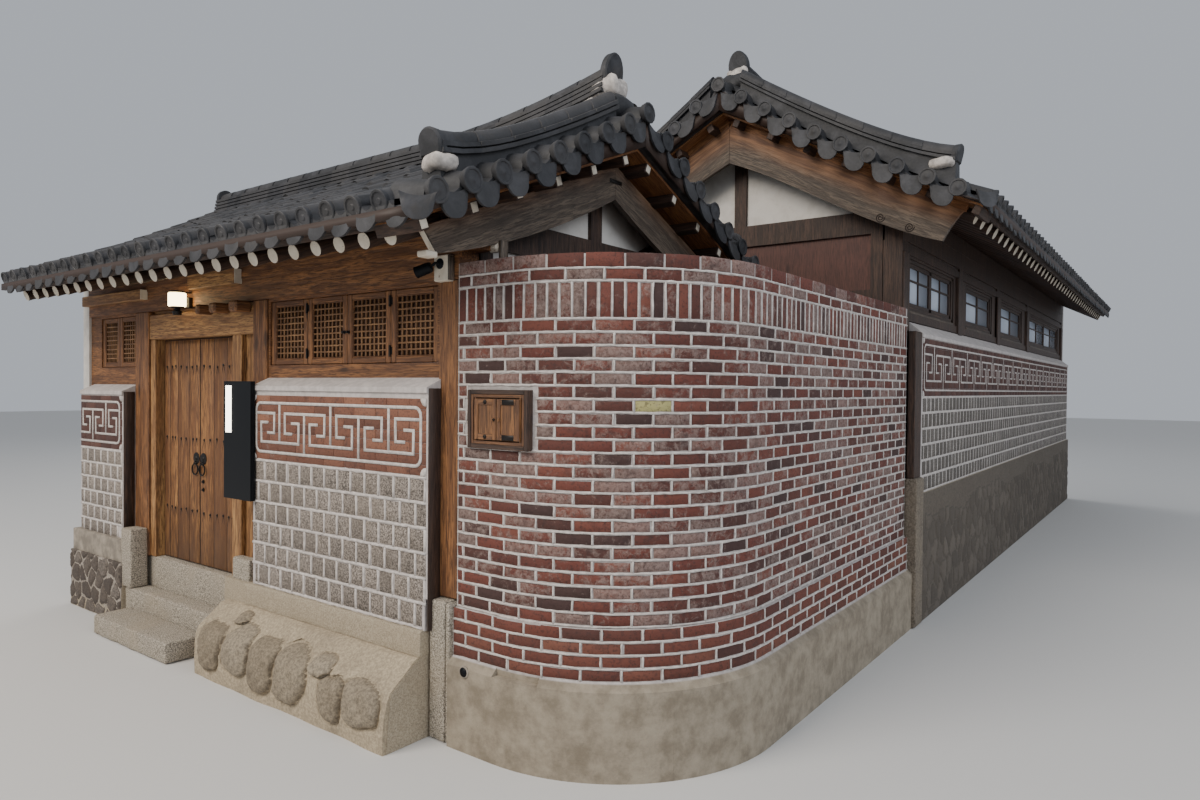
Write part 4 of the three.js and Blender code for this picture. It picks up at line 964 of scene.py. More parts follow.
def ridges(wing):
    """Main ridge with both end tiles and the two descending ridges, and the mortar under their ends."""
    out_u, out_v = wing.turn(1, 0), wing.turn(0, 1)

    def mound(u, v, w, radii, seed, rough, tone=0.5):
        size = radii[0] * abs(out_u) + radii[1] * abs(out_v) + radii[2] * UP
        return (*lump(wing.place(u, v, w), size, seed, rough), tone)

    u = np.linspace(wing.ridge_from + 0.02, wing.ridge_to, 60)
    top = wing.ridge_line(u)
    high = top - 0.17
    low = np.minimum(wing.ridge_tile - 0.15, high - 0.01)
    base, tip = wing.ridge_tip - 0.235, wing.ridge_to
    tiles = [ridge_run(wing.place(u, 0.0, top), out_v, ridge_section(4, 0.068, 0.10)),
             (*boxed(wing, (u, -0.085, low), (u, -0.078, high), (u, 0.078, high), (u, 0.085, low)), 0.3),
             end_plate(wing, tip - 0.005, 0.0, wing.ridge_tip, 0.20, 0.25, out_u, out_v),
             end_plate(wing, wing.ridge_from + 0.03, 0.0, wing.ridge_top + 0.04, 0.18, 0.18,
                       -out_u, -out_v, 0.1),
             mound(tip - 0.02, 0.0, wing.ridge_tile + 0.015, (0.17, 0.13, 0.09), 2.9, 0.06, 0.2)]
    mortar = [mound(tip - 0.03, 0.0, base + 0.01, (0.115, 0.105, 0.075), 1.0, 0.16),
              mound(tip - 0.16, 0.0, base - 0.080, (0.13, 0.100, 0.06), 2.2, 0.16)]
    v = np.linspace(wing.hip_from, wing.hip_to, 30)
    t = (v - wing.hip_from) / (wing.hip_to - wing.hip_from)
    top = wing.tile_line(v) + 0.165 + 0.075 * t ** 6
    low, high = wing.tile_line(v) - 0.09, top - 0.12
    inward, long = (0.095, 0.095) if wing.turned else (0.03, 0.075)
    end = wing.hip_to - inward
    for side in (-1, 1):
        u, s = wing.hip_u, side * v
        tiles.append(ridge_run(wing.place(u, s, top), out_u, ridge_section(2, 0.060, 0.082), 0.26))
        tiles.append((*boxed(wing, (u - 0.075, s, low), (u - 0.06, s, high), (u + 0.06, s, high),
                             (u + 0.075, s, low)), 0.3))
        tiles.append(end_plate(wing, u, side * (wing.hip_to - 0.01), top[-1] + 0.006, 0.165, 0.14,
                               side * out_v, side * out_u, 0.42))
        mortar.append(mound(u + 0.03, side * end, wing.tile_line(end) + 0.062, (0.088, long, 0.046),
                            0.6 + side, 0.10))
    return tiles, mortar


# Brick corner wall

WALL_X, WALL_R, WALL_END = 0.33, 1.0, SIDE.origin[1]
ARC = WALL_R * math.pi / 2
RUN = WALL_X + ARC + WALL_END - WALL_R
START, STOP = 0.004, RUN - 0.004
BRICK_HIGH, BRICK_JOINT, BRICK_PITCH = 0.057, 0.010, 0.2
COURSE_H = BRICK_HIGH + BRICK_JOINT
PLINTH_FOOT, FIRST_COURSE, COURSES = 0.492, 0.760, 23
LAST_TOP = FIRST_COURSE + COURSE_H * COURSES
HATCH_GAP, HATCH_SILL, HATCH_HEAD = (0.080, 0.545), 1.64, 1.955
YELLOW_BRICK, YELLOW_COURSE = 1.02, 16      # the one yellow brick: its start along the wall and its course


def wall_point(s, z, d):
    """Point at run s and depth d outside the face: straight, then a quarter circle, then straight."""
    s, z, d = np.broadcast_arrays(s, z, d)
    a = np.clip((s - WALL_X) / WALL_R, 0, math.pi / 2)
    x = np.where(s < WALL_X, s, WALL_X + (WALL_R + d) * np.sin(a))
    y = np.where(s < WALL_X, -d, WALL_R - (WALL_R + d) * np.cos(a))
    y = np.where(s > WALL_X + ARC, WALL_R + s - WALL_X - ARC, y)
    return np.stack([x, y, z], -1)


def course(offset, gap=None, length=BRICK_PITCH):
    """Ends of the bricks of one course, cut at the course's ends and at the gap."""
    edges = np.arange(START - length + offset, STOP + length, length)
    a, b = np.clip(edges[:-1], START, STOP), np.clip(edges[1:], START, STOP)
    if gap:
        left, right = np.minimum(b, gap[0]), np.maximum(a, gap[1])
        a, b = np.concatenate([a, right]), np.concatenate([left, b])
    b = b - BRICK_JOINT
    keep = b - a > 0.03
    return a[keep], b[keep]


def brick_tones(middle, spread, count, most=0.9):
    return np.clip(rng.normal(middle, spread, count), 0.02, most)


def street_courses():
    """Courses of the street face as (starts, ends, foot, head, depth, plinth): four plinth courses, the
    stretcher courses round the hatch, one of uprights and one coping course."""
    rows = []
    for k in range(4):
        z = PLINTH_FOOT + COURSE_H * k
        rows.append((*course(0.1 * (k % 2)), z, z + BRICK_HIGH, 0.028, True))
    for k in range(COURSES):
        z = FIRST_COURSE + COURSE_H * k
        gap = HATCH_GAP if 13 <= k <= 17 else None
        rows.append((*course(0.1 * (k % 2) + 0.05, gap), z, z + BRICK_HIGH, 0.0, False))
    rows.append((*course(0.0, None, COURSE_H), LAST_TOP, LAST_TOP + 0.178, 0.0, False))
    rows.append((*course(0.1), LAST_TOP + 0.188, LAST_TOP + 0.244, 0.0, False))
    return rows


def brick_face(plinth):
    """The street face's bricks, of the plinth or above it; one brick beside the hatch is yellow."""
    parts = []
    for a, b, z0, z1, d, low in street_courses():
        if low != plinth:
            continue
        tone = brick_tones(0.48, 0.24, len(a))
        if abs(z0 - FIRST_COURSE - YELLOW_COURSE * COURSE_H) < 0.001:
            tone[np.abs(a - YELLOW_BRICK).argmin()] = 1.0
        parts.append(patches(a, b, z0, z1, d - 0.004, d + 0.0022, 0.004, wall_point,
                             0.0009, tone, 0.0016, 4, 2))
    return parts


def strip_rings(along, middle, wide, face, back, place, upright=False):
    """Rings of a raised mortar strip: its section is a trapezium whose width and face waver along it."""
    half, narrow = wide / 2, wide / 2 * 0.62
    ring = [(middle - half, back), (middle - narrow, face), (middle + narrow, face), (middle + half, back)]
    if upright:
        return np.stack([place(across, along, depth) for across, depth in ring], -2)
    return np.stack([place(along, across, depth) for across, depth in ring], -2)


def level_joint(s0, s1, z, d, place, wide=0.0130, proud=0.0055):
    """Raised mortar along one level joint."""
    s = np.linspace(s0, s1, max(4, int((s1 - s0) / 0.033)))
    wavy = rng.normal(0, 1, (3, len(s)))
    return sweep(strip_rings(s, z + 0.0013 * wavy[0], wide * (1 + 0.19 * wavy[1]),
                             d + proud * (1 + 0.10 * wavy[2]), d - 0.003, place))


def upright_joints(s, z0, z1, d, place, wide=0.012, proud=0.0050):
    """Raised mortar in all the upright joints of one course."""
    z = np.linspace(z0, z1, 4)[None, :] + 0 * s[:, None]
    wavy = rng.normal(0, 1, (3, len(s), 4))
    middle = s[:, None] + rng.normal(0, 0.0018, (len(s), 1)) + 0.0012 * wavy[0]
    return stack(strip_rings(z, middle, wide * (1 + 0.16 * wavy[1]), d + proud * (1 + 0.10 * wavy[2]),
                             d - 0.003, place, upright=True))


def brick_joints():
    """Mortar that stands proud of the street face in every joint, cut out at the hatch."""
    parts = []
    for _, b, z0, z1, d, _ in street_courses():
        z = z0 - BRICK_JOINT / 2
        spans = ((START, STOP),)
        if HATCH_SILL < z < HATCH_HEAD:
            spans = ((START, HATCH_GAP[0] + 0.004), (HATCH_GAP[1] - 0.004, STOP))
        if z0 > PLINTH_FOOT:
            parts += [level_joint(s0, s1, z, d, wall_point) for s0, s1 in spans]
        ends = b[b < RUN - 0.02] + BRICK_JOINT / 2
        if HATCH_SILL < z1 < HATCH_HEAD + COURSE_H:
            ends = ends[(ends < HATCH_GAP[0]) | (ends > HATCH_GAP[1])]
        parts.append(upright_joints(ends, z0 - 0.002, z1 + 0.002, d, wall_point))
    parts.append(level_joint(START, STOP, LAST_TOP + 0.248, 0.0, wall_point))
    return parts


def brick_top():
    """Last course on both sides and across the top: bricks that reach half through the wall."""
    parts = []
    for back, face, edge in ((-0.094, 0.0045, 0.004), (-0.106, -0.2045, -0.004)):
        a, b = course(0.0)
        tone = brick_tones(0.45, 0.2, len(a))
        parts.append(patches(a, b, LAST_TOP + 0.252, 2.6245, back, face, edge, wall_point,
                             0.0008, tone, 0.0012, 4, 2))
    return parts


def brick_back():
    """Yard face, set out like the street face but in plain stretcher courses from the ground up."""
    parts = []
    for k in range(38):
        a, b = course(0.1 * (k % 2))
        tone = brick_tones(0.5, 0.2, len(a))
        z = 0.012 + COURSE_H * k
        parts.append(patches(a, b, z, z + BRICK_HIGH, -0.197, -0.2045, -0.003, wall_point,
                             0.0, tone, 0.0, 2, 2))
    return parts


# Masonry facing panels

BLOCK_ROWS, BLOCK_PITCH = 6, 0.132          # courses of blocks under a band, and one block to the next


def front_plane(y):
    def at(s, z, d):
        s, z, d = np.broadcast_arrays(s, z, d)
        return np.stack([s, y - d, z], -1)
    return at


def side_plane(x):
    def at(s, z, d):
        s, z, d = np.broadcast_arrays(s, z, d)
        return np.stack([x + d, s, z], -1)
    return at


def meander(s0, s1, z0, z1, count, first, cut, place, line):
    """Key band: uprights stand by turns on the lower and the upper line of the frame, each carries a
    cross bar at three tenths of the height off the middle, and the bar's two arms turn back inwards.
    first is 1 where the first upright stands low; cut is where the panel's left edge cuts the pattern."""
    wide, face = line
    middle, half = (z0 + z1) / 2, (z1 - z0) / 2
    pitch = (s1 - s0) / count
    reach, bar_z, hook, back = 0.78 * pitch, 0.59 * half, 0.21 * half, 0.30 * pitch
    c = 0.048
    turn = np.linspace(0, np.pi / 2, 5)
    sine, cosine = c * np.sin(turn), c * np.cos(turn)
    right = [*zip(s1 - c + sine, z0 + c - cosine), *zip(s1 - c + cosine, z1 - c + sine)]
    left = [*zip(s0 + c - sine, z1 - c + cosine), *zip(s0 + c - cosine, z0 + c - sine)]
    frame_line = right + left if cut is None else [(cut, z0), *right, (cut, z1)]
    strips = [ribbon(frame_line, wide, place, 0.0, face, closed=cut is None)]
    for i in range(count + 1):
        s = s0 + i * pitch
        sign = first if i % 2 == 0 else -first
        low, high = middle - sign * hook, middle + sign * bar_z
        arms = [(s - reach + back, low), (s - reach, low), (s - reach, high),
                (s + reach, high), (s + reach, low), (s + reach - back, low)]
        if i == 0:
            arms = [(s + wide / 2, high)] + arms[3:]
        elif i == count:
            arms = arms[:3] + [(s - wide / 2, high)]
        strips.append(ribbon(arms, wide, place, 0.0, face))
        if 0 < i < count:
            foot = z0 + wide / 2 if sign > 0 else z1 - wide / 2
            strips.append(ribbon([(s, foot), (s, high - sign * wide / 2)], wide, place, 0.0, face))
    return strips


def band_bricks(s0, s1, z0, z1, place):
    """Red bricks of the band: seven thin courses in running bond with tight joints."""
    parts = []
    rows = 7
    high = (z1 - z0) / rows
    for k in range(rows):
        edges = np.arange(s0 - 0.2 + 0.1 * (k % 2), s1 + 0.2, 0.2)
        a, b = np.clip(edges[:-1], s0, s1), np.clip(edges[1:], s0, s1)
        keep = b - a > 0.02
        a, b = a[keep], b[keep] - 0.003
        tone = brick_tones(0.45, 0.24, len(a), 0.95)
        z = z0 + high * k
        parts.append(patches(a, b, z, z + high - 0.002, -0.002, 0.0035, 0.0015, place,
                             0.0003, tone, 0.0, 2, 2))
    return parts


def notches(s0, s1, z0, z1, cut, place, r=0.045):
    """White quarter discs that cut the band's corners, at the right end only where the left is cut off."""
    a = np.linspace(0, np.pi / 2, 7)
    corners = [(s1, z0, -1, 1), (s1, z1, -1, -1)] + ([(s0, z0, 1, 1), (s0, z1, 1, -1)] if cut is None else [])
    parts = []
    for s, z, ds, dz in corners:
        x, y = np.append(s, s + ds * r * np.cos(a)), np.append(z, z + dz * r * np.sin(a))
        parts.append(sweep(np.stack([place(x, y, d) for d in (-0.001, 0.0065)])))
    return parts


def stone_rows(s0, s1, top, pitch, place, inset, proud):
    """Courses of small granite blocks under the band, each course half a block along from the last, and
    the mortar lines that stand proud between them. inset draws the last course in at both ends."""
    blocks, lines = [], []
    joint, wide = 0.020, 0.021
    for k in range(BLOCK_ROWS):
        start, end = (s0 + inset[0], s1 - inset[1]) if k == BLOCK_ROWS - 1 else (s0, s1)
        edges = np.arange(s0 - BLOCK_PITCH + BLOCK_PITCH * 0.42 * (k % 2), end + BLOCK_PITCH, BLOCK_PITCH)
        a, b = np.clip(edges[:-1] + joint, start, end), np.clip(edges[1:], start, end)
        keep = b - a > 0.025
        a, b = a[keep], b[keep]
        z1 = top - pitch * k
        z0 = z1 - pitch + joint
        tone = rng.uniform(0, 1, len(a))
        blocks.append(patches(a, b, z0, z1, -0.002, 0.0026, 0.002, place, 0.0006, tone, 0.0012, 3, 3))
        lines.append(level_joint(start, end, z0 - joint / 2, 0.0, place, wide, proud))
        ends = b[b < end - 0.01] + joint / 2
        lines.append(upright_joints(ends, z0 - 0.004, z1 + 0.004, 0.0, place, wide - 0.002, proud - 0.0005))
    lines.append(level_joint(s0, s1, top + joint / 2, 0.0, place, wide, proud))
    return blocks, lines


def facing(name, s0, s1, band, bricks, row_top, pitch, count, place, inset=(0.0, 0.0), key=None,
           cut=None, line=(0.018, 0.0075), proud=0.0070, stones=BLOCK):
    """One facing panel: red band, its white key pattern and corner notches, and the blocks below. key
    gives the pattern's left end and the way its first upright points."""
    z0, z1 = band
    left, first = key or (s0 + 0.042, 1)
    put(name + "_band", band_bricks(s0, s1, z0, z1, place), bricks)
    lines = meander(left, s1 - 0.042, z0 + 0.05, z1 - 0.052, count, first, cut, place, line)
    blocks, joints = stone_rows(s0, s1, row_top, pitch, place, inset, proud)
    put(name + "_key_lines", lines + notches(s0, s1, z0, z1, cut, place), JOINT)
    put(name + "_joints", joints, JOINT)
    put(name + "_blocks", blocks, stones)


# Timbers under the roofs


def rafters(wing):
    """Round rafters on both slopes: circles whose radius wavers, from the ridge purlin to the eave, and
    the painted disc on each lower end."""
    fall = 0.044 + wing.rafter_r * wing.rise
    v = np.linspace(0.05, wing.rafter_end, 6)
    logs, ends = [], []
    for u in np.arange(wing.rafter_first, 0.18 - wing.length, -wing.rafter_pitch):
        for side in (-1, 1):
            path = wing.place(u, side * v, wing.bed_line(v) - fall)
            ahead = path[-1] - path[0]
            tone = rng.uniform()
            radius = wing.rafter_r * (1 + rng.normal(0, 0.02, len(v)))
            logs.append(grained(tube(path, radius, 12), path[0], ahead, tone))
            r = radius[-1]
            disc = turned(path[-1], ahead, [(-0.002, r * 0.97), (0.0015, r * 0.97), (0.003, r * 0.9)], 16)
            ends.append((*disc, tone))
    return logs, ends


def ceiling(wing):
    """Boards over the rafters, laid along the ridge, and the ridge purlin."""
    top = wing.eave - 0.06
    count = round(top / 0.15)
    wide = top / count
    parts = []
    for side in (-1, 1):
        for k in range(count):
            v = (k + 0.5) * wide
            a, b = wing.span(side * v, wing.bed_line(v) - 0.0243)
            parts.append(bar(a, b, wide * wing.rise - 0.002, 0.044, 0.002, rng.uniform(), wing.normal(side)))
    a, b = wing.span(0.0, wing.bed_line(0) - 0.1515 - wing.rafter_r * wing.rise)
    return parts + [bar(a, b, 0.16, 0.215, 0.012, 0.4)]


def lookouts(wing):
    """Square arms that carry the verge, the boards over them, and on the gate wing the painted plate on each
    arm's end.
    """
    end = wing.eave - 0.04
    arms, plates, boards = [], [], []
    for side in (-1, 1):
        normal = wing.normal(side)
        for v in 0.13 + 0.33 * np.arange(int((end - 0.16) / 0.33) + 1):
            w = wing.bed_line(v) - 0.053
            a, b, c = (wing.place(u, side * v, w) for u in (0.0, wing.lookout, wing.lookout + 0.002))
            tone = rng.uniform()
            arms.append(bar(a, b, 0.06, 0.068, 0.003, tone, normal))
            if not wing.turned:
                plates.append(bar(b, c, 0.044, 0.050, 0.0005, tone, normal))
        u, v = np.meshgrid([0.0003, wing.lookout], np.linspace(0, end, 12), indexing="ij")
        top, low = (wing.place(u, side * v, wing.bed_line(v) - drop) for drop in (0.0003, 0.020))
        boards.append(grained(slab(top, low), top[0, 0], top[0, -1] - top[0, 0], 0.7 + 0.1 * side))
    return arms, plates, boards


def verge_batten(wing, side):
    """Orange batten between the side wing's bargeboard and the tiles, set back from the board's face."""
    a, b = (wing.place(wing.board - 0.020, side * v, wing.bed_line(v) - 0.0435)
            for v in (0.002, wing.board_end + 0.03))
    return bar(a, b, 0.030, 0.074, 0.002, 0.5 + side, wing.normal(side))


def lower_curve(wing, v):
    """Height of a bargeboard's hollow lower edge: the cubic through its four given points."""
    return np.polyval(np.polyfit(*np.array(wing.board_low).T, 3), v)


def bargeboard(wing, side):
    """Bargeboard: its height runs from a cubic along the hollow lower edge to a straight top, and its tone
    rises from the lower edge to the top."""
    foot = wing.board_low[-1][0]
    s, t = np.meshgrid(np.linspace(0.0008, 1, 30), np.linspace(0, 1, 7), indexing="ij")
    v = s * (foot + t * (wing.board_end - foot))
    w = lower_curve(wing, s * foot) * (1 - t) + (wing.bed_line(v) - 0.084) * t
    front, back = (wing.place(u, side * v, w) for u in (wing.board, wing.board - 0.04))
    points, faces, _, grain = grained(slab(front, back), front[0, 0], wing.turn(0, side) - wing.slope * UP)
    return points, faces, np.tile((t * wing.board_worn).ravel(), 2), grain + side * 3.0


def board_end(wing, side):
    """Painted plate on the cut end of a bargeboard."""
    v0, w0 = wing.board_low[-1]
    v1, w1 = wing.board_end, wing.bed_line(wing.board_end) - 0.084
    out = 0.001 * unit(wing.turn(0, side) * (w1 - w0) - UP * (v1 - v0))
    a, b = (wing.place(wing.board - 0.02, side * v, w) + out for v, w in ((v0, w0 + 0.003), (v1, w1 - 0.003)))
    return bar(a, b, 0.036, 0.003, 0.0005, 0.5, out)


def street_board(s, z, d):
    """Face of the side wing's street bargeboard: run outward from the ridge, height, depth outside."""
    return SIDE.place(SIDE.board + d, s, z)


def spiral(place, s, z, big, turns=2.0, wide=0.008):
    """Carved curl: a strip along a spiral whose radius grows evenly with its angle."""
    a = np.linspace(0, 2 * np.pi * turns, 60)
    r = 0.006 + (big - 0.006) * a / a[-1]
    return ribbon(np.stack([s + r * np.cos(a), z + r * np.sin(a)], 1), wide, place, -0.001, 0.0018)


# Windows and doors


def framed(x0, x1, z0, z1, stile, rails, front, back, edge, tones):
    """Four timbers round an opening: stiles of full height, and the lower and upper rail between them, a
    millimetre behind."""
    a, b, c, d, y = x0 + stile, x1 - stile, z0 + rails[0], z1 - rails[1], front + 0.001
    return sticks(((x0, front, z0), (a, back, z1), edge, tones[0]),
                  ((b, front, z0), (x1, back, z1), edge, tones[1]),
                  ((a, y, z0), (b, back, c), edge, tones[2]), ((a, y, d), (b, back, z1), edge, tones[3]))


def sash(x0, x1, z0, z1, y, columns, rows):
    """Lattice window: four frame timbers with a bead inside, thin crossed bars and a shaded sheet."""
    stile, rails, bead, half = 0.046, (0.040, 0.034), 0.006, 0.0052
    a0, a1, b0, b1 = x0 + stile, x1 - stile, z0 + rails[0], z1 - rails[1]
    frames = framed(x0, x1, z0, z1, stile, rails, y, y + 0.036, 0.005, rng.uniform(0, 1, 4))
    frames += [stick((a, y + 0.007, c), (b, y + 0.02, d), 0.002)
               for a, b, c, d in ((a0, a0 + bead, b0, b1), (a1 - bead, a1, b0, b1),
                                  (a0, a1, b0, b0 + bead), (a0, a1, b1 - bead, b1))]
    bars = [stick((x - half, y + 0.012, b0), (x + half, y + 0.024, b1), 0.0015, rng.uniform())
            for x in np.linspace(a0, a1, columns + 1)[1:-1]]
    bars += [stick((a0, y + 0.0105, z - half), (a1, y + 0.022, z + half), 0.0015, rng.uniform())
             for z in np.linspace(b0, b1, rows + 1)[1:-1]]
    sheet = cuboid((a0 - 0.004, y + 0.026, b0 - 0.004), (a1 + 0.004, y + 0.029, b1 + 0.004))
    return frames, bars, [sheet]


def sash_row(x0, x1, count, gap, *window):
    """Frames, bars and sheets of count equal sashes between x0 and x1."""
    edges = np.linspace(x0, x1, count + 1)
    sashes = [sash(a + gap, b - gap, *window) for a, b in zip(edges[:-1], edges[1:])]
    return [sum(parts, []) for parts in zip(*sashes)]


def mirrored(parts, axis, middle):
    """The same parts on the other side of the plane that crosses the axis at middle."""
    flip, move = np.ones(3), np.zeros(3)
    flip[axis], move[axis] = -1.0, 2 * middle
    return [(part[0] * flip + move, *part[1:]) for part in parts]


def hinge(x, z, y):
    """Window hinge: a turned pin with two end knobs over a thin leaf."""
    half = [(0.024, 0.0065), (0.030, 0.008), (0.034, 0.003)]
    pin = [(-at, radius) for at, radius in half[::-1]] + half
    return [turned((x, y - 0.006, z), UP, pin, 10),
            cuboid((x - 0.017, y - 0.0025, z - 0.022), (x + 0.017, y + 0.002, z + 0.022), 0.001)]


def street_window(y0, y1, sashes, x, thick_bar):
    """Side wing window: a dark frame, sashes of four panes with a cross bar above the middle, and glass."""
    z0, z1, cross = 2.63, 3.08, 2.905
    low, high = z0 + 0.042, z1 - 0.03

    def timbers(back, front, edge, *rows):
        return [stick((x - back, a, c), (x + front, b, d), edge, tone) for a, b, c, d, tone in rows]

    frames = timbers(0.05, 0.012, 0.004, (y0, y1, z0, low, 0.2), (y0, y1, high, z1, 0.6),
                     (y0, y0 + 0.05, z0, z1, 0.4), (y1 - 0.05, y1, z0, z1, 0.8))
    panes = []
    edges = np.linspace(y0 + 0.05, y1 - 0.05, sashes + 1)
    for a, b in zip(edges[:-1], edges[1:]):
        t = rng.uniform()
        middle, half = (a + b) / 2, thick_bar / 2
        frames += timbers(0.036, 0.0, 0.003, (a, a + 0.04, low, high, t), (b - 0.04, b, low, high, t),
                          (a, b, low, low + 0.035, t), (a, b, high - 0.035, high, t))
        frames += timbers(0.032, -0.004, 0.003, (middle - half, middle + half, low, high, t))
        frames += timbers(0.030, -0.006, 0.003, (a, b, cross - 0.009, cross + 0.009, t))
        panes.append(cuboid((x - 0.022, a + 0.02, low + 0.02), (x - 0.017, b - 0.02, high - 0.02)))
    return frames, panes


def nail_shadow_run(x, z, y, way):
    """Thin dark run under a nail head, narrowing downwards and leaning to one side: painted shadow of the
    head.
    """
    length = rng.uniform(0.045, 0.075)
    lean = way * rng.uniform(0.18, 0.34)
    drop = np.array([0.006, 0.3 * length, length])
    half = np.array([0.0058, 0.0046, 0.0010])
    middle = x + way * 0.003 + lean * drop
    rings = [np.stack([middle + s * half, np.full(3, y - d), z - drop], -1)
             for s, d in ((-1, -0.001), (1, -0.001), (1, 0.0003), (-1, 0.0003))]
    return sweep(np.stack(rings, 1))


NAIL = ((-0.001, 0.0110), (0.0030, 0.0102), (0.0070, 0.0048))


def leaf_planks(edges):
    """Upright planks of a gate leaf between the given edges, each a little askew in depth, and the nail
    heads that hold them to the three rails behind, with the painted shadow that runs down from each head to
    both sides."""
    planks, nails, nail_shadows = [], [], []
    for a, b in zip(edges[:-1], edges[1:]):
        front = LEAF_FACE - 0.003 + rng.uniform(0, 0.001)
        lo, hi = (a + 0.0045, front, LEAF_FOOT + 0.004), (b - 0.0045, LEAF_FACE + 0.002, LEAF_TOP - 0.004)
        planks.append(stick(lo, hi, 0.0022, rng.uniform()))
        shares = (0.28, 0.72) if b - a > 0.1 else (0.5,)
        for z in NAIL_ROWS:
            for share in shares:
                x = a + (b - a) * share + rng.normal(0, 0.004)
                height = z + rng.normal(0, 0.004)
                nails.append(turned((x, front, height), OUT, NAIL, 8))
                nail_shadows += [nail_shadow_run(x, height, front, way) for way in (-1, 1)]
    return planks, nails, nail_shadows


def ring_pull(x, z, y):
    """Ring pull: a stepped round plate with a boss and the ring that hangs in it."""
    boss = turned((x, y, z), OUT, [(-0.001, 0.046), (0.002, 0.046), (0.003, 0.042), (0.0045, 0.030),
                                   (0.0045, 0.018), (0.009, 0.015), (0.013, 0.006)], 20)
    staple = hoop((x, y - 0.010, z - 0.034), (0, 1.0, 0), UP, 0.010, 0.0035, 12, 6)
    ring = hoop((x, y - 0.013, z - 0.084), (1.0, 0, 0), UP, 0.042, 0.0058)
    return [boss, staple, ring]


# Stone base

APRON_STONES = ((-1.975, 0.235, 0.130, 0.165), (-1.800, 0.408, 0.062, 0.052), (-1.665, 0.270, 0.140, 0.170),
                (-1.370, 0.240, 0.130, 0.180), (-1.065, 0.240, 0.150, 0.180), (-0.800, 0.335, 0.095, 0.075),
                (-0.650, 0.190, 0.100, 0.120), (-0.390, 0.220, 0.150, 0.125))
APRON_LINE = ((0.0, -0.346), (0.10, -0.350), (0.20, -0.343), (0.27, -0.330), (0.318, -0.308), (0.352, -0.268),
              (0.385, -0.222), (0.416, -0.182), (0.440, -0.158), (0.456, -0.128), (0.460, -0.100))


def apron(stones):
    """Mortar apron before the gate wing's sill: a rounded profile carried along the street, raised by slow
    sines. Each stone (x, height of its middle, half width, half height) swells out of it as a rounded
    block, and its tone is above 0."""
    line = np.array(APRON_LINE)
    away = np.concatenate([[0], np.cumsum(np.hypot(*np.diff(line, axis=0).T))])
    run = np.linspace(0, away[-1], 76)
    x, along = np.meshgrid(np.linspace(-2.168, -0.176, 250), run, indexing="ij")
    z, y = (np.interp(along, away, line[:, i]) for i in (0, 1))
    swell = 0.005 * (np.sin(5.1 * x + 9 * z) + np.sin(11.3 * x - 7 * z + 1.3)) - 0.006
    rise, tone = np.where(z < 0.45, np.minimum(swell, -0.001), 0), np.zeros(z.shape)
    for n, (middle, height, half, tall) in enumerate(stones):
        centre = np.interp(height, line[:, 0], away)
        bend = (1 + 0.16 * np.sin(3 * np.arctan2(along - centre, x - middle) + 2 * n)
                + 0.10 * np.sin(31 * x + 23 * along) + 0.06 * np.sin(67 * along - 71 * x + n))
        out = (np.abs((x - middle) / half) ** 3 + np.abs((along - centre) / tall) ** 3) / bend
        inside = np.clip(1 - out, 0, 1)
        facets = np.abs(np.sin(19 * x + 13 * along + n)) + 0.5 * np.abs(np.sin(41 * along - 29 * x + 2 * n))
        rise = np.where(out < 1, -0.034 * inside ** 0.35 - 0.012 * facets * inside ** 0.5,
                        np.where(out < 1.5, np.maximum(rise, 0.009 * (1.5 - out) / 0.5), rise))
        tone = np.where(out < 0.98, 0.3 + 0.65 * ((n * 0.37) % 1), tone)
    points, faces = slab(np.stack([x, y + rise, z], -1), np.stack([x, np.full(x.shape, -0.05), z * 0.9], -1))
    return points, faces, np.concatenate([tone.ravel(), np.zeros(tone.size)])


def rubble_face(s0, s1, z0, z1, size, step, relief, place, smooth_from=9.0):
    """Wall face of field stones: seeds lie on a staggered net, each moved at random. A point of the grid
    belongs to its nearest seed; the difference between its distances to the two nearest seeds raises the
    stone out of the mortar between them, and its tone is 0 in the mortar and the seed's own on the stone.
    Above the height smooth_from, moved by two sines of the run, mortar covers the stones."""
    heights = np.linspace(z0, z1, round((z1 - z0) / step) + 1)
    s, z = np.meshgrid(np.arange(s0, s1 + step / 2, step), heights, indexing="ij")
    columns, rows = int((s1 - s0) / size) + 3, int((z1 - z0) / size / 0.8) + 3
    k, j = np.meshgrid(np.arange(columns), np.arange(rows), indexing="ij")
    seeds = np.stack([s0 + (k - 1 + 0.5 * (j % 2)) * size, z0 + (j - 1) * size * 0.8], -1).reshape(-1, 2)
    seeds = seeds + rng.uniform(-0.26, 0.26, seeds.shape) * size
    own = rng.uniform(0.2, 1.0, len(seeds))
    nearest, second, tone = np.full(s.shape, 9.0), np.full(s.shape, 9.0), np.zeros(s.shape)
    bent_s = s + 0.07 * size * np.sin(19 * z / size * 0.17 + 3 * s / size)
    bent_z = z + 0.07 * size * np.sin(5 * s / size + 2.1 * z / size)
    for (a, b), shade in zip(seeds, own):
        d = np.hypot(bent_s - a, bent_z - b)
        closer = d < nearest
        second = np.where(closer, nearest, np.minimum(second, d))
        tone = np.where(closer, shade, tone)
        nearest = np.where(closer, d, nearest)
    gap = 0.11 + 0.05 * np.sin(2.3 * s / size + 3.1 * z / size)
    stone = np.clip((second - nearest - gap * size) / (0.22 * size), 0, 1)
    cover = smooth_from + 0.05 * np.sin(2.1 * s) + 0.03 * np.sin(5.3 * s + 1)
    stone = stone * np.clip((cover - z) / 0.06, 0, 1)
    rise = relief * np.sqrt(stone) * (0.6 + 0.4 * tone) + rng.normal(0, relief * 0.05, s.shape)
    rise[[0, -1]], rise[:, [0, -1]] = 0.0, 0.0
    points, faces = slab(place(s, z, rise), place(s, z, -0.03))
    shade = np.where(stone > 0.02, tone, 0.0).ravel()
    return points, faces, np.concatenate([shade, shade])


# Stage, light and camera

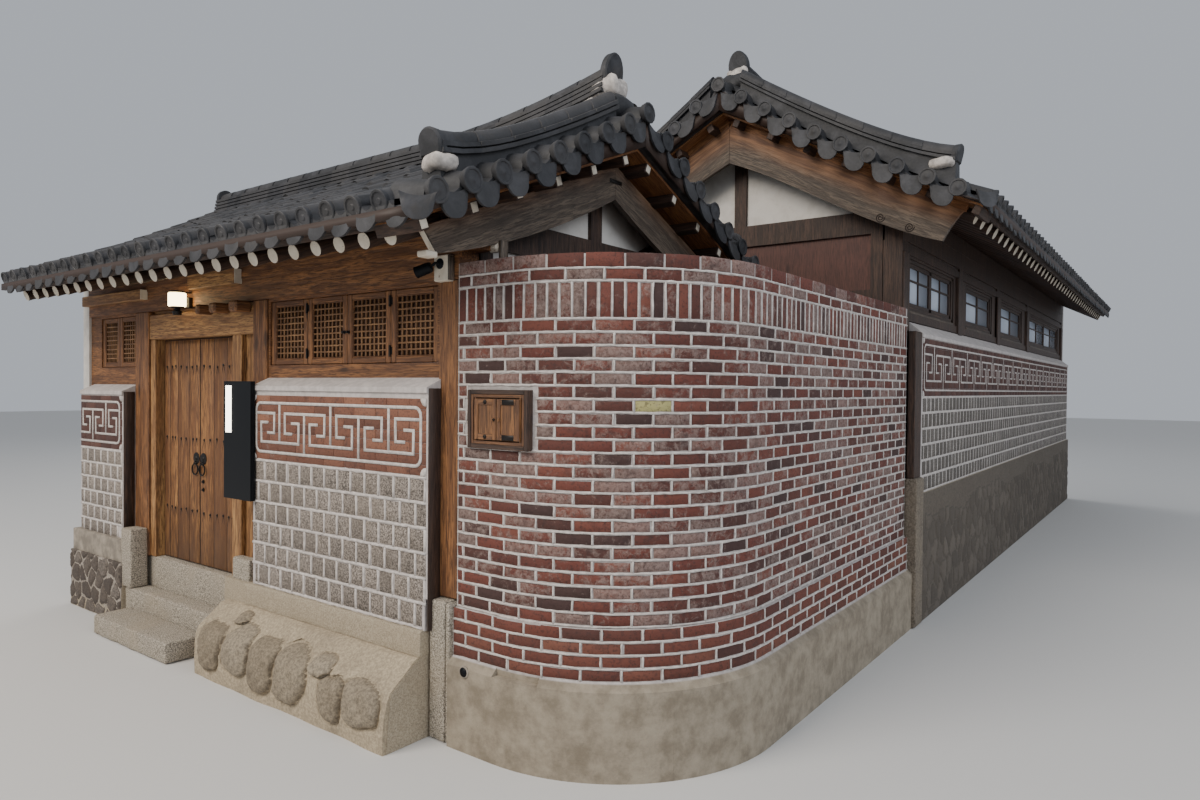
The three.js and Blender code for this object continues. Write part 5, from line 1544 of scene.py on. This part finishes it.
LAMPS = (("key", (-2.0, -17.0, 11.0), (0.5, -4.5, 1.5), 8.0, 2100.0, (1.0, 0.92, 0.82)),
         ("fill", (14.0, -8.0, 9.0), (2.0, 0.0, 1.5), 9.0, 900.0, (0.88, 0.93, 1.0)),
         ("back", (-12.0, 12.0, 12.0), (0.0, 0.0, 2.0), 9.0, 900.0, (1.0, 1.0, 1.0)))


def add_object(name, data):
    made = bpy.data.objects.new(name, data)
    bpy.context.scene.collection.objects.link(made)
    return made


def aim(at, direction, roll=0.0):
    """Matrix of a light or camera at a point, its -Z along direction."""
    f = unit(direction)
    right = unit(np.cross(f, UP))
    up = np.cross(right, f)
    r2 = right * math.cos(roll) + up * math.sin(roll)
    u2 = up * math.cos(roll) - right * math.sin(roll)
    m = Matrix.Identity(4)
    for i in range(3):
        m[i][0], m[i][1], m[i][2], m[i][3] = r2[i], u2[i], -f[i], at[i]
    return m


def stage():
    mesh = bpy.data.meshes.new("floor")
    r = 60.0
    mesh.from_pydata([(-r, -r, 0), (r, -r, 0), (r, r, 0), (-r, r, 0)], [], [(0, 1, 2, 3)])
    mesh.materials.append(plain_look("pale_floor", (0.62, 0.61, 0.59), 0.9))
    floor = add_object("floor", mesh)
    world = bpy.data.worlds.new("studio")
    bpy.context.scene.world = world
    world.use_nodes = True
    back = world.node_tree.nodes["Background"]
    back.inputs[0].default_value = (0.80, 0.85, 0.93, 1)
    back.inputs[1].default_value = 0.58
    for name, at, towards, size, power, colour in LAMPS:
        lamp = bpy.data.lights.new(name, "AREA")
        lamp.size, lamp.energy, lamp.color = size, power, colour
        add_object(name, lamp).matrix_world = aim(at, np.array(towards) - np.array(at))


def camera():
    """The photograph's view: 24 mm on a 36 mm frame, 36.5 degrees left of the side street, nearly level."""
    yaw, pitch, roll = math.radians(36.5), math.radians(-0.86), math.radians(0.5)
    data = bpy.data.cameras.new("camera")
    data.lens, data.sensor_width = 24.0, 36.0
    data.clip_start, data.clip_end = 0.05, 300.0
    holder = add_object("camera", data)
    forward = (-math.sin(yaw) * math.cos(pitch), math.cos(yaw) * math.cos(pitch), math.sin(pitch))
    holder.matrix_world = aim(np.array([3.22, -3.05, 1.95]) + SHIFT, forward, roll)
    bpy.context.scene.camera = holder


camera()
stage()

# Roofs

for wing, slopes in ((GATE, ("front", "rear")), (SIDE, ("court", "street"))):
    node = f"{wing.name}_wing_"
    for side, slope in zip((-1, 1), slopes):
        put(f"{wing.name}_{slope}_tiles", [roof_tiles(wing, side)], TILE,
            stands_for=[node + "roof_" + slope], smooth=38)
    put(f"{wing.name}_tile_ends", roof_ends(wing), TILE, smooth=38)
    put(f"{wing.name}_verge_rows", verge_tiles(wing), TILE, smooth=38)
    put(f"{wing.name}_edge_boards", edge_boards(wing), DARK)
    ridge, lime = ridges(wing)
    put(f"{wing.name}_ridge_tiles", ridge, TILE, stands_for=[node + "ridges"], smooth=38)
    put(f"{wing.name}_ridge_mortar", lime, LIME, smooth=60)

# Brick wall

put("brick_street_face", brick_face(False), BRICK)
put("brick_plinth", brick_face(True), PLINTH)
put("brick_joints", brick_joints(), JOINT)
put("brick_coping", brick_top(), BRICK)
put("brick_yard_face", brick_back(), BRICK)

# Facing panels

street_face = front_plane(-0.090)
facing("right_panel", -1.887, -0.151, (1.457, 1.884), BAND, 1.436, 0.139, 6, street_face, (0.028, 0.028))
facing("left_panel", -4.676, -3.870, (1.405, 1.850), DARK_BAND, 1.381, 0.123, 3, street_face,
       (0.0, 0.07), (-4.6848, -1), -4.675)
facing("side_panel", 3.985, 13.66, (1.905, 2.395), DARK_BAND, 1.885, 0.134, 30, side_plane(1.392),
       line=(0.016, 0.0052), proud=0.0034, stones=SHADED_BLOCK)
put("panel_end_boards", sticks(((-0.1396, -0.088, 0.602), (-0.134, -0.002, 1.940), 0.001, 0.3),
                               ((-3.8546, -0.088, 0.642), (-3.849, -0.002, 1.885), 0.001, 0.6),
                               ((1.300, 3.9440, 1.087), (1.391, 3.9496, 2.426), 0.001, 0.9)), DARK)

# Timbers of both roofs

for wing in (GATE, SIDE):
    node = f"{wing.name}_wing_"
    logs, ends = rafters(wing)
    put(f"{wing.name}_rafter_logs", logs + ceiling(wing), DARK,
        stands_for=[node + "rafters"], smooth=40)
    arms, plates, boards = lookouts(wing)
    if wing.turned:
        boards += [verge_batten(wing, side) for side in (-1, 1)]
    else:
        ends.append(board_end(wing, -1))
    put(f"{wing.name}_verge_arms", arms, DARK, smooth=40)
    put(f"{wing.name}_verge_boards", boards, SOFFIT_WITH_PAINTED_LIGHT, smooth=40)
    put(f"{wing.name}_bargeboards", [bargeboard(wing, side) for side in (-1, 1)], BOARD,
        stands_for=[node + "verge_timbers"], smooth=30)
    put(f"{wing.name}_painted_ends", ends + plates, PAINTED, smooth=50)

apex = GATE.place(GATE.board + 0.003, 0.0, GATE.board_low[0][1] + 0.115)
strap = [cuboid(apex - [0.004, 0.065, 0.012], apex + [0.003, 0.065, 0.012], 0.001)]
rivet = [(0, 0.006), (0.004, 0.0055), (0.006, 0.002)]
strap += [turned(apex + [0.002, y, 0], (1, 0, 0), rivet, 8) for y in (-0.05, 0.05)]
put("apex_strap", strap, IRON)
CURLS = (1.362, 1.592)       # middles of the carved curls, outward from the ridge
curls = [spiral(street_board, v, lower_curve(SIDE, v) + 0.046, 0.038) for v in CURLS]
# the curls are painted shade: dark strips where the carved grooves would lie in shade
put("board_curls", curls, GROOVE_SHADE_LINE)

# Gate wing front

FACE = 0.030                 # how far the lattice windows stand back
WINDOW_TOP, WINDOW_FOOT = 2.520, 2.085
frames, lattice, sheets, iron = [], [], [], []
for x0, x1, z0, z1, count, columns in ((-1.870, -0.190, WINDOW_FOOT, WINDOW_TOP, 4, 8),
                                       (-4.540, -3.870, WINDOW_FOOT + 0.005, WINDOW_TOP, 2, 6)):
    window = sash_row(x0, x1, count, 0.002, z0 + 0.002, z1 - 0.002, FACE, columns, 9)
    for made, parts in zip((frames, lattice, sheets), window):
        made += parts
for x in (-1.450, -0.610):
    iron += hinge(x, WINDOW_TOP - 0.065, FACE) + hinge(x, WINDOW_FOOT + 0.075, FACE)
LATCH = [(-0.001, 0.011), (0.004, 0.011), (0.005, 0.006), (0.014, 0.005), (0.016, 0.010), (0.022, 0.008)]
iron += [turned((x, FACE, 2.285), OUT, LATCH, 12) for x in (-1.052, -1.008)]
put("front_sashes", frames, FRONT, smooth=30)
put("front_lattice", lattice, LATTICE)
put("front_sheets", sheets, PAPER, stands_for=["front_window_right", "front_window_left"])
put("front_window_iron", iron, IRON, smooth=40)

put("gate_timbers", sticks(((-3.6197, 0.020, 0.5453), (-3.540, 0.150, 2.312), 0.006, 0.3),
                           ((-2.365, 0.020, 0.5453), (-2.245, 0.150, 2.312), 0.006, 0.6),
                           ((-2.2447, 0.060, 0.5453), (-2.0603, 0.120, 2.311), 0.003, 0.9),
                           ((-3.6197, 0.010, 2.310), (-2.0603, 0.155, 2.512), 0.008, 0.2),
                           ((-3.6197, 0.050, 2.512), (-2.0603, 0.150, 2.5397), 0.003, 0.7)),
    GATE_WOOD, stands_for=["gate_frame"], smooth=30)
put("front_posts", sticks(((-0.160, 0, 0.780), (0, 0.160, 2.540), 0.008, 0.35),
                          ((-2.060, 0, 0.545), (-1.890, 0.160, 2.540), 0.008, 0.6),
                          ((-3.850, 0, 0.545), (-3.620, 0.160, 2.540), 0.008, 0.8)),
    FRONT, stands_for=["corner_post", "gate_post_right", "gate_post_left"], smooth=30)
put("beam_arms", sticks(((-2.860, -0.060, 2.662), (-2.202, 0.0, 2.772), 0.004, 0.4),
                        ((-4.745, -0.060, 2.632), (-3.632, 0.0, 2.718), 0.004, 0.7)),
    GATE_WOOD, smooth=30)
put("painted_beam_heads", sticks(((-0.145, -0.052, 2.527), (-0.034, 0.0, 2.668), 0.005, 0.3),
                                 ((-2.202, -0.057, 2.665), (-2.198, 0.0, 2.769), 0.001),
                                 ((-3.632, -0.057, 2.635), (-3.628, 0.0, 2.715), 0.001),
                                 ((0.125, -0.405, 2.590), (0.200, -0.330, 2.620), 0.006, 0.8),
                                 ((0.078, 0.130, 2.692), (0.160, 0.185, 2.752), 0.022, 0.5)),
    PAINTED, smooth=30)
put("beam_end_side", sticks(((-0.034, -0.050, 2.530), (-0.0325, -0.002, 2.665), 0.0005),
                            ((0.160, 0.140, 2.600), (0.180, 0.200, 2.752), 0.003)), OLD)

PLANKS = {"left": (-3.521, -3.426, -3.301, -3.114, -2.9555),
          "right": (-2.9495, -2.745, -2.556, -2.440, -2.384)}
PULLS = {"left": -3.006, "right": -2.899}
PLANK_FACE = LEAF_FACE - 0.0032
LOCK = [(-0.001, 0.016), (0.003, 0.016), (0.004, 0.011), (0.012, 0.009)]
for side, edges in PLANKS.items():
    planks, nails, nail_shadows = leaf_planks(edges)
    fittings = nails + ring_pull(PULLS[side], 1.376, PLANK_FACE)
    if side == "right":
        fittings += [turned((PULLS[side], PLANK_FACE, z), OUT, LOCK, 12) for z in (1.200, 1.138)]
    put(f"{side}_leaf_planks", planks, PLANK, f"gate_leaf_{side}")
    put(f"{side}_leaf_iron", fittings, IRON, f"gate_leaf_{side}", smooth=40)
    # painted shadows under the nail heads
    put(f"{side}_leaf_rust", nail_shadows, NAIL_SHADOW, f"gate_leaf_{side}")

lantern = np.array([-2.918, -0.105, 0.0])
glass = [(2.533, 0.046), (2.534, 0.056), (2.540, 0.062), (2.630, 0.062), (2.636, 0.058), (2.637, 0.040)]
foot = [(2.470, 0.020), (2.472, 0.030), (2.498, 0.034), (2.505, 0.020), (2.520, 0.018), (2.524, 0.048),
        (2.534, 0.050), (2.535, 0.040)]
lid = [(2.635, 0.052), (2.636, 0.061), (2.645, 0.061), (2.652, 0.046), (2.654, 0.016)]
put("lantern_glass", [turned(lantern, UP, glass, 28)], GLOW, smooth=40)
put("lantern_mount", [turned(lantern, UP, foot, 20), turned(lantern, UP, lid, 20),
                      cuboid((-2.943, -0.032, 2.530), (-2.893, 0.0, 2.610), 0.004),
                      cuboid((-2.928, -0.09, 2.640), (-2.908, -0.0, 2.650), 0.002)], IRON, smooth=40)
pegs = [stick((x0, -0.110, z0), (x1, 0.010, z1), 0.012, rng.uniform())
        for x0, x1, z0, z1 in ((-2.655, -2.600, 2.465, 2.535), (-2.459, -2.369, 2.465, 2.535),
                               (-2.188, -2.085, 2.459, 2.537))]
put("lintel_pegs", pegs, FRONT, stands_for=["gate_lights"], smooth=30)
put("panel_light", [cuboid((-2.165, -0.1375, 1.622), (-2.092, -0.134, 1.945), 0.001)], STRIP)

spot, aimed = np.array([-0.094, -0.045, 2.621]), np.array([-0.84, -0.42, -0.34])
base = [(0.0, 0.029), (0.010, 0.029), (0.014, 0.024), (0.015, 0.008)]
neck = [spot + [0, -0.012, 0], spot + [-0.012, -0.030, 0.002], spot + 0.052 * aimed + [0, -0.016, 0]]
head = [(0, 0.012), (0.002, 0.026), (0.010, 0.030), (0.084, 0.031), (0.094, 0.033), (0.095, 0.026),
        (0.090, 0.024)]
put("post_spot_lamp", [turned(spot, OUT, base, 20), tube(neck, 0.008),
                       turned(spot + 0.046 * aimed + [0, -0.014, 0], aimed, head, 20)],
    BLACK, smooth=40)

# Hatch in the brick wall

surround = framed(0.0953, 0.5237, 1.6243, 1.9357, 0.024, (0.024, 0.024), -0.024, 0.06, 0.003,
                  (0.2, 0.9, 0.5, 0.7))
put("hatch_surround", surround, DARK, stands_for=["hatch_frame"], smooth=30)
lining = framed(0.1193, 0.4997, 1.6483, 1.9117, 0.0177, (0.0177, 0.0177), -0.020, 0.06, 0.002,
                (0.3, 0.8, 0.6, 0.1))
put("hatch_lining", lining, HATCH_WOOD, smooth=30)
for side, x0, x1 in (("left", 0.1487, 0.3068), ("right", 0.3122, 0.4703)):
    stiles = framed(x0, x1, 1.6722, 1.8878, 0.026, (0.032, 0.032), -0.026, -0.019, 0.002,
                    rng.uniform(0, 1, 4))
    put(f"hatch_{side}_stiles", stiles, HATCH_WOOD, f"hatch_leaf_{side}", smooth=30)
    middle, heights = (x0 + x1) / 2, (1.688, 1.872)
    if side == "left":
        nut, knob = [(0, 0.013), (0.003, 0.013), (0.006, 0.006)], [(0, 0.008), (0.004, 0.008), (0.008, 0.005)]
        studs = [turned((middle, -0.024, z), OUT, nut, 6) for z in heights]
        studs.append(turned((x1 - 0.013, -0.026, 1.780), OUT, knob, 10))
    else:
        studs = [cuboid((middle - 0.042, -0.0265, z - 0.014), (middle + 0.042, -0.024, z + 0.014), 0.001)
                 for z in heights]
    put(f"hatch_{side}_iron", studs, IRON, f"hatch_leaf_{side}")
drain = (0.131, -0.070, 0.433)
rim = turned(drain, OUT, [(-0.001, 0.034), (0.004, 0.034), (0.006, 0.030), (0.006, 0.026)], 18)
put("drain_rim", [rim], CEMENT)
put("drain_shadow", [turned(drain, OUT, [(0.0, 0.026), (0.0065, 0.026)], 18)], BLACK)

# Side wing windows

SIDE_WINDOWS = ((3.950, 5.560, 2, 0.016), (6.120, 7.480, 1, 0.060), (8.060, 9.600, 1, 0.060),
                (10.260, 13.360, 2, 0.030))
frames, panes = [], []
for y0, y1, sashes, thick in SIDE_WINDOWS:
    wood_parts, glass_parts = street_window(y0 + 0.0005, y1 - 0.0005, sashes, 1.250, thick)
    frames += wood_parts
    panes += glass_parts
put("side_window_frames", frames, DARK, smooth=30)
put("court_window_frames", mirrored(frames, 0, SIDE.origin[0]), DARK, smooth=30)
rear_frames, rear_bars = [], []
for x0, x1, count in ((-1.829, -0.231, 4), (-4.499, -3.911, 2)):
    made, bars, _ = sash_row(x0, x1, count, 0.001, 1.587, 2.478, 0.035, 6, 14)
    rear_frames += made
    rear_bars += bars
put("rear_sashes", mirrored(rear_frames, 1, GATE.origin[1]), FRONT, smooth=30)
put("rear_lattice", mirrored(rear_bars, 1, GATE.origin[1]), LATTICE)
posts = [stick((1.265, y, 2.445), (1.302, y + 0.16, 3.105), 0.006, y % 1)
         for y in (3.745, 5.660, 7.690, 9.850, 13.560)]
put("side_posts", posts, DARK, smooth=30)
sills = [stick((1.236, y0 + 0.005, 2.590), (1.278, y1 - 0.005, 2.634), 0.005, (y0 + 0.005) % 1)
         for y0, y1, _, _ in SIDE_WINDOWS]
put("side_sills", sills, OLD, smooth=30)
put("side_window_glass", panes, GLASS, stands_for=[f"side_wing_window_{n}" for n in (1, 2, 3, 4)])

# Stone base

steps = [hewn((-3.7617, 0.030, 0.005), (-2.2403, 0.200, 0.545), 0.012, 0.003, 0.3),
         hewn((-3.7617, -0.120, 0.005), (-2.2403, 0.0297, 0.300), 0.018, 0.004, 1.3),
         hewn((-3.640, -0.400, 0.005), (-2.470, -0.1203, 0.150), 0.016, 0.004, 2.1)]
put("gate_steps", steps, GRANITE,
    stands_for=["threshold_stone", "upper_step", "lower_step"], smooth=40)
foot = [hewn((-0.162, -0.060, 0.005), (-0.030, 0.160, 0.776), 0.014, 0.004, 0.9),
        hewn((-0.027, -0.058, 0.005), (0.0, 0.158, 0.770), 0.008, 0.003, 1.9)]
put("corner_foot", foot, GRANITE, stands_for=["corner_footing_stone"], smooth=40)
put("post_feet", [hewn((-2.170, -0.085, 0.302), (-1.955, -0.002, 0.745), 0.012, 0.004, 2.2),
                  hewn((-3.790, -0.135, 0.302), (-3.620, -0.002, 0.775), 0.012, 0.004, 0.2)],
    GRANITE, smooth=40)
put("sill_stone", [hewn((-1.950, -0.121, 0.455), (-0.166, 0.010, 0.603), 0.010, 0.003, 2.7)], SAND,
    smooth=40)
put("mortar_apron", [apron(APRON_STONES)], SAND_RUBBLE, smooth=60)
put("left_base_band", [hewn((-4.747, -0.132, 0.485), (-3.795, -0.02, 0.672), 0.008, 0.0015, 0.8)], CEMENT,
    smooth=60)
left_face = rubble_face(-4.747, -3.768, 0.002, 0.488, 0.165, 0.009, 0.016, front_plane(-0.146))
put("left_base_rubble", [left_face], DARK_RUBBLE, smooth=60)
# side base in painted shade, darker than the mortar and stones of the left base
side_face = rubble_face(3.950, 13.765, 0.002, 1.084, 0.21, 0.024, 0.011, side_plane(1.4125), 0.88)
put("side_base_rubble", [side_face], SHADED_CEMENT_RUBBLE, smooth=60)
put("side_corner_foot", [hewn((1.333, 3.720, 0.005), (1.428, 3.948, 1.226), 0.012, 0.003, 1.1)], ROUGH,
    smooth=40)
put("side_corner_post", sticks(((1.335, 3.752, 1.224), (1.398, 3.942, 2.440), 0.006, 0.4)), DARK,
    smooth=30)


def paint(material, *nodes):
    """Gives CAD nodes their finish."""
    for node in nodes:
        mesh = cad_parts[node].data
        if not mesh.materials:
            mesh.materials.append(material)
        for i in range(len(mesh.materials)):
            mesh.materials[i] = material


paint(BEDDING, "brick_wall_hatch_bay", "brick_wall_curve_1", "brick_wall_curve_2", "brick_wall_side")
paint(CAP, "front_panel_right", "front_panel_left", "side_wing_panel")
paint(SAND, "gate_wing_platform", "side_wing_platform")
paint(FRONT_X, "gate_wing_front_beam", "front_wall_right", "front_wall_left", "gate_wing_rear_wall")
# the leaves' fronts carry painted shade for the joints between the planks
paint(leaf_look(), "gate_leaf_left", "gate_leaf_right")
paint(BLACK, "entry_panel")
paint(GLASS, "gate_wing_rear_glass", "side_wing_court_glass")
paint(gable_look("gate_gable", 2.0, (0.120, 0.050, 0.034), (0.052, 0.022, 0.016)), "gate_wing_gable_wall")
paint(gable_look("side_gable", 3.460, (0.120, 0.045, 0.031), (0.092, 0.034, 0.025)), "side_wing_gable_wall")
paint(PLASTER, "gate_wing_party_wall", "side_wing_back_wall")
paint(HATCH_LEAF, "hatch_leaf_left", "hatch_leaf_right")
paint(DARK_Z, "gate_wing_gable_frame", "side_wing_gable_frame")
paint(DARK_Z, "side_wing_street_wall", "side_wing_court_wall")
